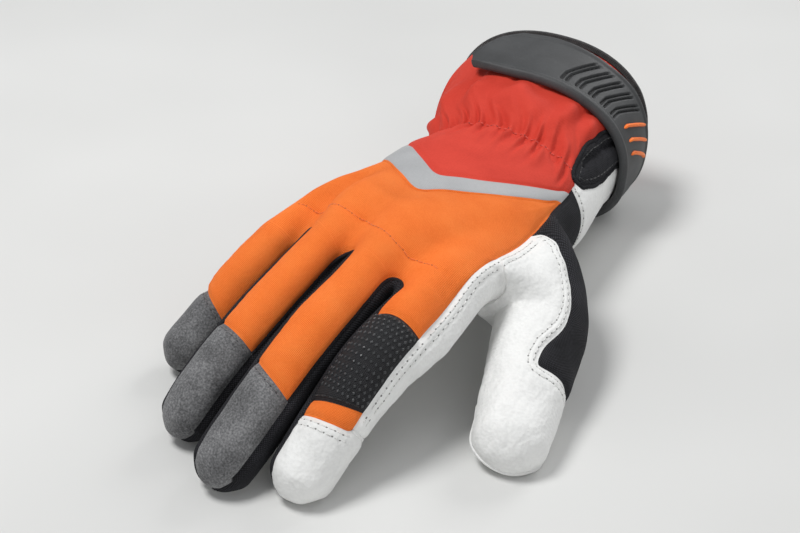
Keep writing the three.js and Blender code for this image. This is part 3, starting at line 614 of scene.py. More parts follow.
def add_finger(i):
    finger, tube = FINGERS[i], TUBES[i]
    for facing in (1, -1):
        lines = []
        for c in range(BACK_QUADS + 1):
            across = facing * (2 * c / BACK_QUADS - 1)
            lines.append((root_distance(i, across, facing), across, top_angle(across, facing)))
        points, places = finger_strip(finger, tube, lines)
        if facing > 0:
            add_grid(points, lambda r, c: finger_panel_of(finger, r), FINGER, places)
        else:
            add_grid(points, lambda r, c: "palm_leather", FINGER, places)
    for side in (1, -1):
        lines = []
        for c in range(SIDE_QUADS + 1):
            share = c / SIDE_QUADS if side > 0 else 1 - c / SIDE_QUADS
            lines.append((side_distance(i, side, share), side, side_angle(share, side)))
        points, places = finger_strip(finger, tube, lines)
        add_grid(points, lambda r, c, side=side: side_strip_panel_of(i, side, r), FINGER, places)
    end = end_grid(SIDE_QUADS, BACK_QUADS, finger_end_angle,
                   lambda angle, cone: tube.point(tube.end, angle, cone))
    end = [list(reversed(row)) for row in end]
    places = [[(0, tube.end + tube.tip)] * len(row) for row in end]
    add_grid(end, lambda r, c: finger["cap"] if r < 2 else "palm_leather", FINGER, places)


def add_web(i):
    points = []
    for q in range(SIDE_QUADS + 1):
        share = q / SIDE_QUADS
        near = TUBES[i].point(side_distance(i, 1, share), side_angle(share, 1))
        far = TUBES[i + 1].point(side_distance(i + 1, -1, share), side_angle(share, -1))
        points.append([mix(near, far, w / WEB_QUADS) for w in range(WEB_QUADS + 1)])
    add_grid(points, lambda r, c: FOURCHETTES[i], WEB, [[(0, 0)] * 2] * len(points))


HOLE_ROWS = HOLE_LOW - HOLE_TOP
HOLE_ACROSS = SIDE_QUADS + THUMB_HOLE_PALM_QUADS
HOLE_RIM = 2 * (HOLE_ROWS + HOLE_ACROSS)
HOLE_SIDES = [0, HOLE_ROWS, HOLE_ROWS + HOLE_ACROSS, 2 * HOLE_ROWS + HOLE_ACROSS, HOLE_RIM]


def hole_side(place):
    k = (place + HOLE_RIM) % HOLE_RIM
    return next(i for i in range(4) if HOLE_SIDES[i] <= k < HOLE_SIDES[i + 1])


def across_hole(j, row):
    if j <= SIDE_QUADS:
        return hand_side_point(j / SIDE_QUADS, row, 1)
    return hand_point(COLUMNS - (j - SIDE_QUADS), row, -1)


def hole_point(place):
    k = place % HOLE_RIM
    side = hole_side(k)
    along = k - HOLE_SIDES[side]
    if side == 0:
        return hand_side_point(0, HOLE_LOW - along, 1)
    if side == 1:
        return across_hole(along, HOLE_TOP)
    if side == 2:
        return hand_point(COLUMNS - THUMB_HOLE_PALM_QUADS, HOLE_TOP + along, -1)
    return across_hole(HOLE_ACROSS - along, HOLE_LOW)


def hole_angle(place):
    corners = THUMB["corners"]
    return float(np.interp(place, HOLE_SIDES, corners + [corners[0] - 360]))


def hole_leaving(place):
    shares = [THUMB_LEAVES[hole_side(place + d)] for d in (-2, -1, 0, 1)]
    along = sum(share[0] for share in shares)
    out = sum(share[1] for share in shares)
    low = (hole_point(place)[2] - THUMB_LEAVES_DOWN["below"]) / THUMB_LEAVES_DOWN["over"]
    outward = unit(HAND_X + HAND_Z * min(0, low))
    return unit(thumb_direction(0) * along + outward * out)


def thumb_twist(s):
    span = THUMB["twist_to"] - THUMB["twist_from"]
    return THUMB["twist"] * smooth((s - THUMB["twist_from"]) / span)


def thumb_point(place, row):
    angle = hole_angle(place % HOLE_RIM)
    if row >= THUMB["blend_rows"]:
        s = (THUMB["rows"] + [THUMB_TUBE.end])[row - THUMB["blend_rows"]]
        return THUMB_TUBE.point(s, angle + thumb_twist(s))
    start = hole_point(place)
    end = THUMB_TUBE.point(THUMB["rows"][0], angle)
    reach = np.linalg.norm(end - start)
    leave = hole_leaving(place) * reach
    arrive = THUMB_TUBE.axes_at(THUMB["rows"][0])[0] * reach
    return hermite(start, leave, end, arrive, row / THUMB["blend_rows"])


def thumb_panel_of(row, place):
    last = HOLE_ROWS + SIDE_QUADS + THUMB_BACK_PALM_QUADS
    on_back = THUMB_BACK_FIRST <= place < last and row < THUMB["back_rows"]
    return "thumb_back_panel" if on_back else "thumb_leather"


def add_thumb():
    places = range(HOLE_RIM + 1)
    rows = THUMB["blend_rows"] + len(THUMB["rows"])
    twist = thumb_twist(THUMB_TUBE.end)

    def tip_point(angle, cone):
        return THUMB_TUBE.point(THUMB_TUBE.end, angle + twist, cone)

    grid = [[thumb_point(k, r) for k in places] for r in range(rows + 1)]
    grid += [[tip_point(hole_angle(k % HOLE_RIM), cone) for k in places] for cone in TIP_RINGS]
    add_grid(grid, thumb_panel_of, THUMB_PART, [[(k, r) for k in places] for r in range(len(grid))])
    end = end_grid(HOLE_ROWS, HOLE_ACROSS, hole_angle, tip_point)
    end.reverse()
    add_grid(end, lambda r, c: "thumb_leather", THUMB_PART, [[(0, rows + 4)] * len(row) for row in end])


# From the frame of the hand to the floor.
turn_x = np.array([
    [1, 0, 0],
    [0, cosine(HAND_PITCH), -sine(HAND_PITCH)],
    [0, sine(HAND_PITCH), cosine(HAND_PITCH)],
])
turn_y = np.array([
    [cosine(HAND_ROLL), 0, sine(HAND_ROLL)],
    [0, 1, 0],
    [-sine(HAND_ROLL), 0, cosine(HAND_ROLL)],
])
HAND_TURN = turn_x @ turn_y


def on_floor(point):
    placed = HAND_TURN @ point
    return vec([placed[0] - MIDDLE[0], placed[1] - MIDDLE[1], max(placed[2] + WRIST_HEIGHT, 0)])


add_hand()
for number in range(4):
    add_finger(number)
for number in range(3):
    add_web(number)
add_thumb()

PANELS = sorted({quad["panel"] for quad in cage})
PANEL_ID = {name: i for i, name in enumerate(PANELS)}

# Weld the cage.
ids, cage_points, cage_faces, lay, place = {}, [], [], [], []
for quad in cage:
    face = []
    for corner in quad["corners"]:
        placed = on_floor(corner)
        key = tuple(int(math.floor(x * 200 + 0.5)) for x in placed)
        if key not in ids:
            ids[key] = len(cage_points)
            cage_points.append(placed)
        face.append(ids[key])
    cage_faces.append(face)
    lay += quad["lay"]
    place += quad["place"]
cage_points = np.array(cage_points)


# The smooth surface through the corners of the cage.

def cage_object(points):
    mesh = bpy.data.meshes.new("cage")
    mesh.from_pydata([tuple(p) for p in points], [], cage_faces)
    mesh.polygons.foreach_set("material_index", [PANEL_ID[quad["panel"]] for quad in cage])
    for name, values in (("lay", lay), ("place", place)):
        layer = mesh.uv_layers.new(name=name)
        layer.data.foreach_set("uv", np.array(values, np.float32).ravel())
    region = mesh.attributes.new("region", "INT", "FACE")
    region.data.foreach_set("value", [quad["region"] for quad in cage])
    return mesh


def subdivided(points, levels):
    mesh = cage_object(points)
    for name in PANELS:
        mesh.materials.append(bpy.data.materials.get(name) or bpy.data.materials.new(name))
    obj = bpy.data.objects.new("cage", mesh)
    bpy.context.scene.collection.objects.link(obj)
    subsurf = obj.modifiers.new("smooth", "SUBSURF")
    subsurf.levels = levels
    subsurf.render_levels = levels
    subsurf.use_limit_surface = True
    evaluated = obj.evaluated_get(bpy.context.evaluated_depsgraph_get())
    result = bpy.data.meshes.new_from_object(evaluated)
    bpy.data.objects.remove(obj)
    bpy.data.meshes.remove(mesh)
    return result


def mesh_points(mesh):
    values = np.empty(len(mesh.vertices) * 3, np.float32)
    mesh.vertices.foreach_get("co", values)
    return values.reshape(-1, 3).astype(float)


control = cage_points.copy()
for _ in range(2):
    coarse = subdivided(control, 1)
    control += 0.8 * (cage_points - mesh_points(coarse)[:len(cage_points)])
    bpy.data.meshes.remove(coarse)

fine = subdivided(control, SURFACE_LEVELS)
points = mesh_points(fine)
face_count = len(fine.polygons)
faces = np.empty(face_count * 4, np.int32)
fine.loops.foreach_get("vertex_index", faces)
faces = faces.reshape(-1, 4)
face_panel = np.empty(face_count, np.int32)
fine.polygons.foreach_get("material_index", face_panel)
face_region = np.empty(face_count, np.int32)
fine.attributes["region"].data.foreach_get("value", face_region)


def loop_uv(name):
    values = np.empty(face_count * 8, np.float32)
    fine.uv_layers[name].data.foreach_get("uv", values)
    return values.reshape(-1, 4, 2)


lay_uv = loop_uv("lay")
place_uv = loop_uv("place")


def vertex_values(mask, corner_values):
    """One value for each point, from the corners of the faces in the mask."""
    result = np.full((len(points),) + corner_values.shape[2:], np.nan)
    result[faces[mask].ravel()] = corner_values[mask].reshape((-1,) + corner_values.shape[2:])
    return result


def vertex_normals(positions):
    a, b, c, d = (positions[faces[:, i]] for i in range(4))
    face_normals = np.cross(c - a, d - b)
    normals = np.zeros_like(positions)
    for i in range(4):
        np.add.at(normals, faces[:, i], face_normals)
    return normals / np.maximum(np.linalg.norm(normals, axis=1, keepdims=True), 1e-9)


# Rounded seams that cut across the quads of the cage: the teardrop of the slit gusset, as
# (column, row value) pairs, the line that parts the red cloth from the white leather beside
# it, and the edge of the white leather round the root of the thumb.
GUSSET_OUTLINE = [
    (19.85, 0.1), (19.6, 1.0), (19.5, 1.66), (19.2, 2.25), (18.3, 2.62), (17.72, 2.88), (17.75, 3.12),
    (18.6, 3.26), (19.35, 3.16), (19.8, 2.9), (20.3, 2.5), (20.6, 2.05), (20.85, 1.3), (21.0, 0.1),
]
GUSSET_MIDDLE = {"row": [0.14, 1.6, 2.5, 3.26], "column": [20.4, 20.1, 19.3, 18.6]}
WEB_EDGE = {"row": [0, 0.5, 1.5, 3, 5, 7], "place": [3.05, 3.7, 4.1, 4.0, 3.4, 3.0]}


def inside(outline, across, down):
    """Whether each place lies inside a closed outline."""
    found = np.zeros(len(across), bool)
    for (x0, y0), (x1, y1) in zip(outline, outline[1:] + outline[:1]):
        if y0 != y1:
            crossing = (y0 > down) != (y1 > down)
            found ^= crossing & (across < x0 + (x1 - x0) * (down - y0) / (y1 - y0))
    return found


face_place = place_uv.mean(axis=1)
column_of, row_of = face_place[:, 0], face_place[:, 1]
cuff_ids = [PANEL_ID[name] for name in ("slit_gusset", "cuff_palm", "cuff_back")]
thumb_side = (face_region == HAND) & (column_of > 16) & (column_of < COLUMNS + SIDE_QUADS)
thumb_side &= np.isin(face_panel, cuff_ids)
gusset_middle = np.interp(row_of, GUSSET_MIDDLE["row"], GUSSET_MIDDLE["column"])
red_side = np.where(row_of < GUSSET_MIDDLE["row"][-1], column_of < gusset_middle, column_of < COLUMNS)
face_panel[thumb_side & red_side] = PANEL_ID["cuff_back"]
face_panel[thumb_side & ~red_side] = PANEL_ID["cuff_palm"]
face_panel[thumb_side & inside(GUSSET_OUTLINE, column_of, row_of)] = PANEL_ID["slit_gusset"]
on_thumb = face_region == THUMB_PART
white_until = np.interp(row_of, WEB_EDGE["row"], WEB_EDGE["place"])
is_black = face_panel == PANEL_ID["thumb_back_panel"]
face_panel[on_thumb & is_black & (face_place[:, 0] < white_until)] = PANEL_ID["thumb_leather"]

# The cap of the index finger wraps round its thumb side.
CAP_WRAP_FROM = 68.5
wrap_angles = sorted(side_angle(end, 1) for end in (0, 1))
cap_wrap = (face_region == FINGER) & (face_panel == PANEL_ID["palm_leather"]) & (row_of > CAP_WRAP_FROM)
cap_wrap &= (column_of > wrap_angles[0]) & (column_of < wrap_angles[1])
face_panel[cap_wrap] = PANEL_ID["index_tip_cap"]

# The black strips run on round the fingertips, between the cap and the palm leather.
# Their half height is given at the outer side, at the front and at the thumb side: in
# millimetres at the front, and as a share of the strip's own half height at the sides.
STRIP_ENDS = [
    {"finger": 0, "half": [0, 1.3, 1]}, {"finger": 1, "half": [1, 1.5, 1]},
    {"finger": 2, "half": [1, 1.5, 1]}, {"finger": 3, "half": [1, 0, 0]},
]
STRIP_TIP = {"reach": 20, "behind": 0.4, "front": 0.35, "drop": 1.6}
face_middle = points[faces].mean(axis=1)
for strip_end in STRIP_ENDS:
    i = strip_end["finger"]
    tube = TUBES[i]
    middle = on_floor(tube.center(tube.end))
    ahead, aside, above = [HAND_TURN @ vec(axis) for axis in tube.axes_at(tube.end)]
    away = face_middle - middle
    forward, sideways, height = away @ ahead, away @ aside, away @ above
    near_tip = (face_region == FINGER) & (np.linalg.norm(away, axis=1) < STRIP_TIP["reach"])
    near_tip &= forward > -STRIP_TIP["behind"]
    across = np.clip(sideways / tube.half_width(tube.end), -1, 1)
    borders = []
    for end in (0, 1):
        corners = [on_floor(tube.point(tube.end, side_angle(end, side))) for side in (-1, 1)]
        borders.append([(corner - middle) @ above for corner in corners])
    centers = [(borders[0][k] + borders[1][k]) / 2 for k in (0, 1)]
    halves = [abs(borders[0][k] - borders[1][k]) / 2 for k in (0, 1)]
    front_center = sum(centers) / 2 - STRIP_TIP["drop"]
    center_line = np.interp(across, [-1, 0, 1], [centers[0], front_center, centers[1]])
    outer_half, front_half, thumb_half = strip_end["half"]
    half_height = np.interp(across, [-1, -STRIP_TIP["front"], STRIP_TIP["front"], 1],
                            [outer_half * halves[0], front_half, front_half, thumb_half * halves[1]])
    strip = near_tip & (np.abs(height - center_line) < half_height)
    thumbward = strip & (across >= 0) if i > 0 else strip
    face_panel[thumbward] = PANEL_ID[FOURCHETTES[min(i, 2)]]
    if i > 0:
        face_panel[strip & (across < 0)] = PANEL_ID[FOURCHETTES[i - 1]]

# Where each panel's points are, and the seams between panels.
in_panel = {name: np.zeros(len(points), bool) for name in PANELS}
for name in PANELS:
    in_panel[name][faces[face_panel == PANEL_ID[name]].ravel()] = True

edge_faces = {}
for index, face in enumerate(faces):
    for i in range(4):
        a, b = int(face[i]), int(face[(i + 1) % 4])
        edge_faces.setdefault((min(a, b), max(a, b)), []).append(index)

seam_edges = {}
for edge, owners in edge_faces.items():
    names = sorted({PANELS[face_panel[index]] for index in owners})
    if len(names) == 2:
        seam_edges.setdefault(tuple(names), []).append(edge)
    elif len(owners) == 1:
        seam_edges.setdefault((names[0], "rim"), []).append(edge)

# Pairs that are one piece of leather in the real glove: no seam shows there.
CONTINUOUS = [("palm_leather", "thumb_leather")]


def chains(edges):
    """The edges joined into runs of point numbers."""
    links = {}
    for a, b in edges:
        links.setdefault(a, []).append(b)
        links.setdefault(b, []).append(a)
    unused = {tuple(sorted(edge)) for edge in edges}
    runs = []
    starts = sorted(links, key=lambda p: (len(links[p]) == 2, p))
    for start in starts:
        while True:
            run = [start]
            while True:
                step = next((n for n in links[run[-1]] if tuple(sorted((run[-1], n))) in unused), None)
                if step is None:
                    break
                unused.discard(tuple(sorted((run[-1], step))))
                run.append(step)
                if len(links[step]) != 2:
                    break
            if len(run) < 2:
                break
            runs.append(run)
    return runs


def neighbour_mean(values):
    """The mean of the values at the points round each point."""
    total = np.zeros_like(values)
    for k in range(3):
        total[:, k] += np.bincount(all_edges[:, 0], values[all_edges[:, 1], k], len(values))
        total[:, k] += np.bincount(all_edges[:, 1], values[all_edges[:, 0], k], len(values))
    return total / edge_counts[:, None]


all_edges = np.array(sorted(edge_faces))
edge_counts = np.bincount(all_edges.ravel(), minlength=len(points))
seam_mask = np.zeros(len(points), bool)
for edges in seam_edges.values():
    seam_mask[np.array(edges).ravel()] = True

def soften(line, passes):
    """Draws the inner points of a line toward their neighbours, in place."""
    for _ in range(passes):
        line[1:-1] = (line[:-2] + 2 * line[1:-1] + line[2:]) / 4
    return line


# The back between the knuckles and the band is stretched smooth.
STRETCH = {"from": 4.6, "to": 7.05, "fade": 0.5, "share": 0.7, "passes": 120}
hand_place = vertex_values(face_region == HAND, place_uv)
back_value = np.nan_to_num(hand_place[:, 1])
stretched = in_panel["back_panel"] & ~seam_mask & (back_value > STRETCH["from"])
stretch_fade = np.clip((STRETCH["to"] - back_value) / STRETCH["fade"], 0, 1)
stretch_share = np.where(stretched, stretch_fade, 0) * STRETCH["share"]
for _ in range(STRETCH["passes"]):
    points += (neighbour_mean(points) - points) * stretch_share[:, None]

# The seams run smooth, and the quads beside them follow.
SEAM_SMOOTHING = {"passes": 8, "shortest": 7, "beside_passes": 4, "beside_share": 0.35}
for edges in seam_edges.values():
    for run in chains(edges):
        if len(run) >= SEAM_SMOOTHING["shortest"]:
            points[run] = soften(points[run], SEAM_SMOOTHING["passes"])
beside_share = np.where(seam_mask[:, None], 0, SEAM_SMOOTHING["beside_share"])
for _ in range(SEAM_SMOOTHING["beside_passes"]):
    points += beside_share * (neighbour_mean(points) - points)
normals = vertex_normals(points)


def distance_to(positions):
    tree = KDTree(len(positions))
    for i, p in enumerate(positions):
        tree.insert(p, i)
    tree.balance()
    return np.array([tree.find(p)[2] for p in points])


seam_ids = {p for names, edges in seam_edges.items() if names not in CONTINUOUS and names[1] != "rim"
            for edge in edges for p in edge}
seam_distance = distance_to(points[sorted(seam_ids)])

surface_tree = BVHTree.FromPolygons([tuple(p) for p in points], [tuple(f) for f in faces])


def nearest(tree, point):
    """The place on a surface next to a point, its normal and the number of its face."""
    location, normal, index, _ = tree.find_nearest(Vector(point))
    return vec(location), vec(normal), index


# How many places a drawn line takes from stop to stop, and how far apart its points end up.
LINE_PLACES = 40
LINE_STEP = 0.8


def reach_along(line):
    """Distance along a line from its start to each of its points."""
    return np.concatenate([[0], np.cumsum(np.linalg.norm(np.diff(line, axis=0), axis=1))])


def place_along(line, reach, at):
    """The place on a line at one distance, or the places at several."""
    return np.stack([np.interp(at, reach, line[:, k]) for k in range(3)], axis=-1)


def resample(line, step):
    reach = reach_along(line)
    if reach[-1] < step:
        return line
    return place_along(line, reach, np.linspace(0, reach[-1], max(2, int(round(reach[-1] / step)) + 1)))


def drawn_line(stops):
    """A line over the back of the hand through (column, row value) stops."""
    raw = []
    for (c0, v0), (c1, v1) in zip(stops, stops[1:]):
        for t in np.linspace(0, 1, LINE_PLACES, endpoint=False):
            raw.append(on_floor(hand_at(mix(c0, c1, t), mix(v0, v1, t))))
    raw.append(on_floor(hand_at(*stops[-1])))
    return resample(np.array(raw), LINE_STEP)


def wrapped_line(stops):
    """A line from the back round to the thumb side through (column, row value) stops."""
    raw = []
    for (c0, v0), (c1, v1) in zip(stops, stops[1:]):
        for t in np.linspace(0, 1, LINE_PLACES):
            column, value = mix(c0, c1, t), mix(v0, v1, t)
            if column < COLUMNS:
                raw.append(on_floor(hand_at(column, value)))
            else:
                keys, tangent = side_keys((column - COLUMNS) / SIDE_QUADS, 1)
                raw.append(on_floor(curve_point(keys, tangent, value)))
    return resample(np.array(raw), LINE_STEP)


KNUCKLE_STOPS = [
    (1.2, 6.45), (5, 6.3), (7.75, 6.25), (9.6, 6.12), (12.25, 6.35), (14.75, 6.4), (17.5, 6.5),
]
KNUCKLE_LINE = drawn_line(KNUCKLE_STOPS)
knuckle_distance = distance_to(KNUCKLE_LINE)


# Rows of stitches: the two panels, the one that carries them, and their distances.
LEATHER_ROWS = [1.5, 4.0]
STITCHED = [
    ("back_panel", "palm_leather", "palm_leather", LEATHER_ROWS),
    ("palm_leather", "touch_patch", "palm_leather", LEATHER_ROWS),
    ("index_back_band", "palm_leather", "palm_leather", LEATHER_ROWS),
    ("index_back_band", "index_tip_cap", "index_tip_cap", [1.3, 3.6]),
    ("back_panel", "thumb_leather", "thumb_leather", LEATHER_ROWS),
    ("thumb_back_panel", "thumb_leather", "thumb_leather", LEATHER_ROWS),
    ("palm_leather", "thumb_back_panel", "palm_leather", [1.4]),
    ("cuff_palm", "palm_leather", "cuff_palm", [1.4]),
    ("cuff_back", "cuff_palm", "cuff_palm", [1.5]),
    ("cuff_palm", "thumb_back_panel", "cuff_palm", [1.4]),
    ("back_panel", "middle_tip_cap", "middle_tip_cap", [1.5]),
    ("back_panel", "ring_tip_cap", "ring_tip_cap", [1.5]),
    ("back_panel", "little_tip_cap", "little_tip_cap", [1.5]),
    ("middle_tip_cap", "palm_leather", "middle_tip_cap", [1.3]),
    ("cuff_back", "slit_gusset", "slit_gusset", [2.8]),
    ("cuff_palm", "slit_gusset", "slit_gusset", [2.8]),
    ("cuff_back", "cuff_binding", "cuff_back", [1.2]),
    ("back_panel", "touch_patch", "touch_patch", [1.2]),
    ("index_back_band", "touch_patch", "touch_patch", [1.2]),
]


def seam_line(run, panel, offset):
    """The run moved into the panel by the offset, on the plain surface."""
    if len(run) < 6:
        return None
    line = soften(resample(points[run], LINE_STEP), 4)
    moved = []
    for p, t in zip(line, np.gradient(line, axis=0)):
        side = np.cross(nearest(surface_tree, p)[1], t)
        side = side / max(np.linalg.norm(side), 1e-6)
        for sign in (1, -1):
            location, _, index = nearest(surface_tree, p + side * (sign * offset))
            if PANELS[face_panel[index]] == panel:
                moved.append(location)
                break
    return np.array(moved) if len(moved) > 2 else None


stitch_lines = []
for first, second, carrier, offsets in STITCHED:
    for run in chains(seam_edges.get(tuple(sorted((first, second))), [])):
        for offset in offsets:
            line = seam_line(run, carrier, offset)
            if line is not None:
                stitch_lines.append((carrier, line))
stitch_distance = distance_to(np.concatenate([line for _, line in stitch_lines]))


# Relief of the cloth and leather, in millimetres out of the surface.

STITCH_DENT = {"depth": 0.4, "width": 0.8}
KNUCKLE_DENT = {"depth": 0.75, "width": 1.0}
GUSSET_DENT = {"depth": 3.2, "width": 1.3}
GUSSET_CREASE = [(20.2, 0.4), (19.95, 1.7), (19.45, 2.4), (18.9, 2.85)]
# The pitches of the cuff's folds are in columns, and their reach in row values.
FOLDS = {"pitch": 1.55, "fine_pitch": 0.92, "height": 1.05, "reach": 0.42}
LOBES = {"pitch": 4.3, "height": 1.9, "middle": 2.2, "reach": 0.95}
PUFF = {"middle": 2.45, "reach": 0.55, "height": 2.4, "tuck": 1.7, "tuck_reach": 0.16}
BESIDE_STRAP = {"from": 1.8, "fade": 0.42}
JOINT_WAVE = {"height": 0.035, "turn": 1.55, "reach": 5, "from": 26, "fade": 6}


def noise_at(scale, seed, stretch=(1, 1, 1)):
    shift = Vector((seed * 17.3, seed * 5.1, seed * 9.7))
    stretched = points * (vec(stretch) * scale)
    return np.array([noise.noise(Vector(p) + shift) for p in stretched])


def bell(distance, width):
    return np.exp(-(distance / width) ** 2)


def dent(distance, size):
    return size["depth"] * bell(distance, size["width"])


def creases_at(scale, seed, stretch, sharpness):
    """Ridges along the lines where a noise passes through zero."""
    return np.clip(1 - np.abs(noise_at(scale, seed, stretch)) * sharpness, 0, 1) ** 2


def any_panel(*names):
    return np.any([in_panel[name] for name in names], axis=0)


finger_place = vertex_values(face_region == FINGER, place_uv)
soft_large = noise_at(0.045, 1)
soft_middle = noise_at(0.11, 2)
soft_small = noise_at(0.3, 3)

relief = -SEAM_DEPTH * bell(seam_distance, SEAM_WIDTH)
relief -= dent(stitch_distance, STITCH_DENT)
padded = 0.9 * (1 - bell(seam_distance, 7)) - 0.3

orange = any_panel("back_panel", "index_back_band")
relief += np.where(orange, padded + 0.5 * soft_large + 0.28 * soft_middle, 0)
relief -= np.where(in_panel["back_panel"], dent(knuckle_distance, KNUCKLE_DENT), 0)

white = any_panel("palm_leather", "thumb_leather", "cuff_palm", "index_tip_cap")
creases = 0.2 * creases_at(0.16, 5, (1.6, 0.5, 1.0), 3.2) + 0.08 * creases_at(0.42, 6, (0.7, 1.4, 1.0), 4)
relief += np.where(white, 0.3 * soft_middle + 0.08 * soft_small, 0)
relief -= np.where(white, creases * (1 - bell(seam_distance, 3)), 0)

suede = any_panel("little_tip_cap", "ring_tip_cap", "middle_tip_cap")
relief += np.where(suede, 0.5 * (1 - bell(seam_distance, 4)) + 0.35 * soft_middle, 0)

# Folds where the elastic draws the cuff in.
around = np.nan_to_num(hand_place[:, 0])
value = np.nan_to_num(hand_place[:, 1], nan=9.0)
cuff = in_panel["cuff_back"] & ~np.isnan(hand_place[:, 0])
from_gather = value - GATHER_VALUE
wander = 1.1 * noise_at(0.05, 8)
folds = np.sin(2 * math.pi * (around / FOLDS["pitch"] + wander + 0.25 * from_gather))
folds += 0.5 * np.sin(2 * math.pi * (around / FOLDS["fine_pitch"] + 2 * wander - 0.4 * from_gather))
lobes = np.sin(2 * math.pi * (around / LOBES["pitch"] + 0.9 * wander + 0.35 * from_gather))
near_gather = bell(from_gather, FOLDS["reach"])
above_gather = np.clip(GATHER_VALUE - value, 0, 1) * bell(value - LOBES["middle"], LOBES["reach"])
puff = PUFF["height"] * bell(value - PUFF["middle"], PUFF["reach"])
puff -= PUFF["tuck"] * bell(from_gather, PUFF["tuck_reach"])
cuff_relief = FOLDS["height"] * near_gather * folds + LOBES["height"] * above_gather * lobes + puff
cuff_relief += 0.35 * soft_middle * bell(value - 2.4, 1.2)
# The strap holds the cloth down where it lies over it.
beside_strap = np.clip((value - BESIDE_STRAP["from"]) / BESIDE_STRAP["fade"], 0, 1)
cuff_relief = np.where(cuff_relief > 0, cuff_relief * beside_strap, cuff_relief)
cuff_edge = 1 - bell(seam_distance, 3.5)
relief += np.where(cuff, cuff_relief * cuff_edge, 0)

# Creases across the finger joints.
finger_s = np.nan_to_num(finger_place[:, 1])
for finger_number, finger in enumerate(FINGERS):
    joint = finger["bones"][0]
    past_root = np.clip((finger_s - JOINT_WAVE["from"]) / JOINT_WAVE["fade"], 0, 1)
    near_joint = bell(finger_s - joint, JOINT_WAVE["reach"]) * past_root
    wave = np.cos((finger_s - joint) * JOINT_WAVE["turn"]) * near_joint
    own = in_panel["back_panel"] if finger_number < 3 else in_panel["touch_patch"]
    relief += np.where(own & (finger_s > 0), JOINT_WAVE["height"] * wave, 0)

gusset = in_panel["slit_gusset"]
crease_distance = distance_to(wrapped_line(GUSSET_CREASE))
relief += np.where(gusset, 0.8 * (1 - bell(seam_distance, 3)) + 0.3 * soft_small, 0)
relief -= np.where(gusset, dent(crease_distance, GUSSET_DENT), 0)

black = in_panel["thumb_back_panel"]
relief += np.where(black, 0.25 * soft_middle + 0.2 * (1 - bell(seam_distance, 3)), 0)

relief = np.where(in_panel["reflective_band"], relief * 0.35 + 0.1, relief)
shaped = points + normals * relief[:, None]

# The binding has a rounded edge on both sides.
binding = in_panel["cuff_binding"]
rim_ids = sorted({p for names, edges in seam_edges.items() if "cuff_binding" in names
                  for edge in edges for p in edge})
rim_distance = distance_to(points[rim_ids])
round_share = np.sqrt(np.clip(1 - (1 - np.clip(rim_distance / BINDING_ROUND, 0, 1)) ** 2, 0, 1))
binding_out = BINDING_OUT * round_share
only_binding = binding & ~np.isin(np.arange(len(points)), list(seam_ids))
shaped = np.where(only_binding[:, None], points + normals * binding_out[:, None], shaped)
shaped[:, 2] = np.maximum(shaped[:, 2], 0.0)
shaped_normals = vertex_normals(shaped)


# Materials. Every one is made of procedural nodes.

def linear(color):
    channels = [int(color[i:i + 2], 16) / 255 for i in (1, 3, 5)]
    return [c / 12.92 if c <= 0.04045 else ((c + 0.055) / 1.055) ** 2.4 for c in channels] + [1.0]


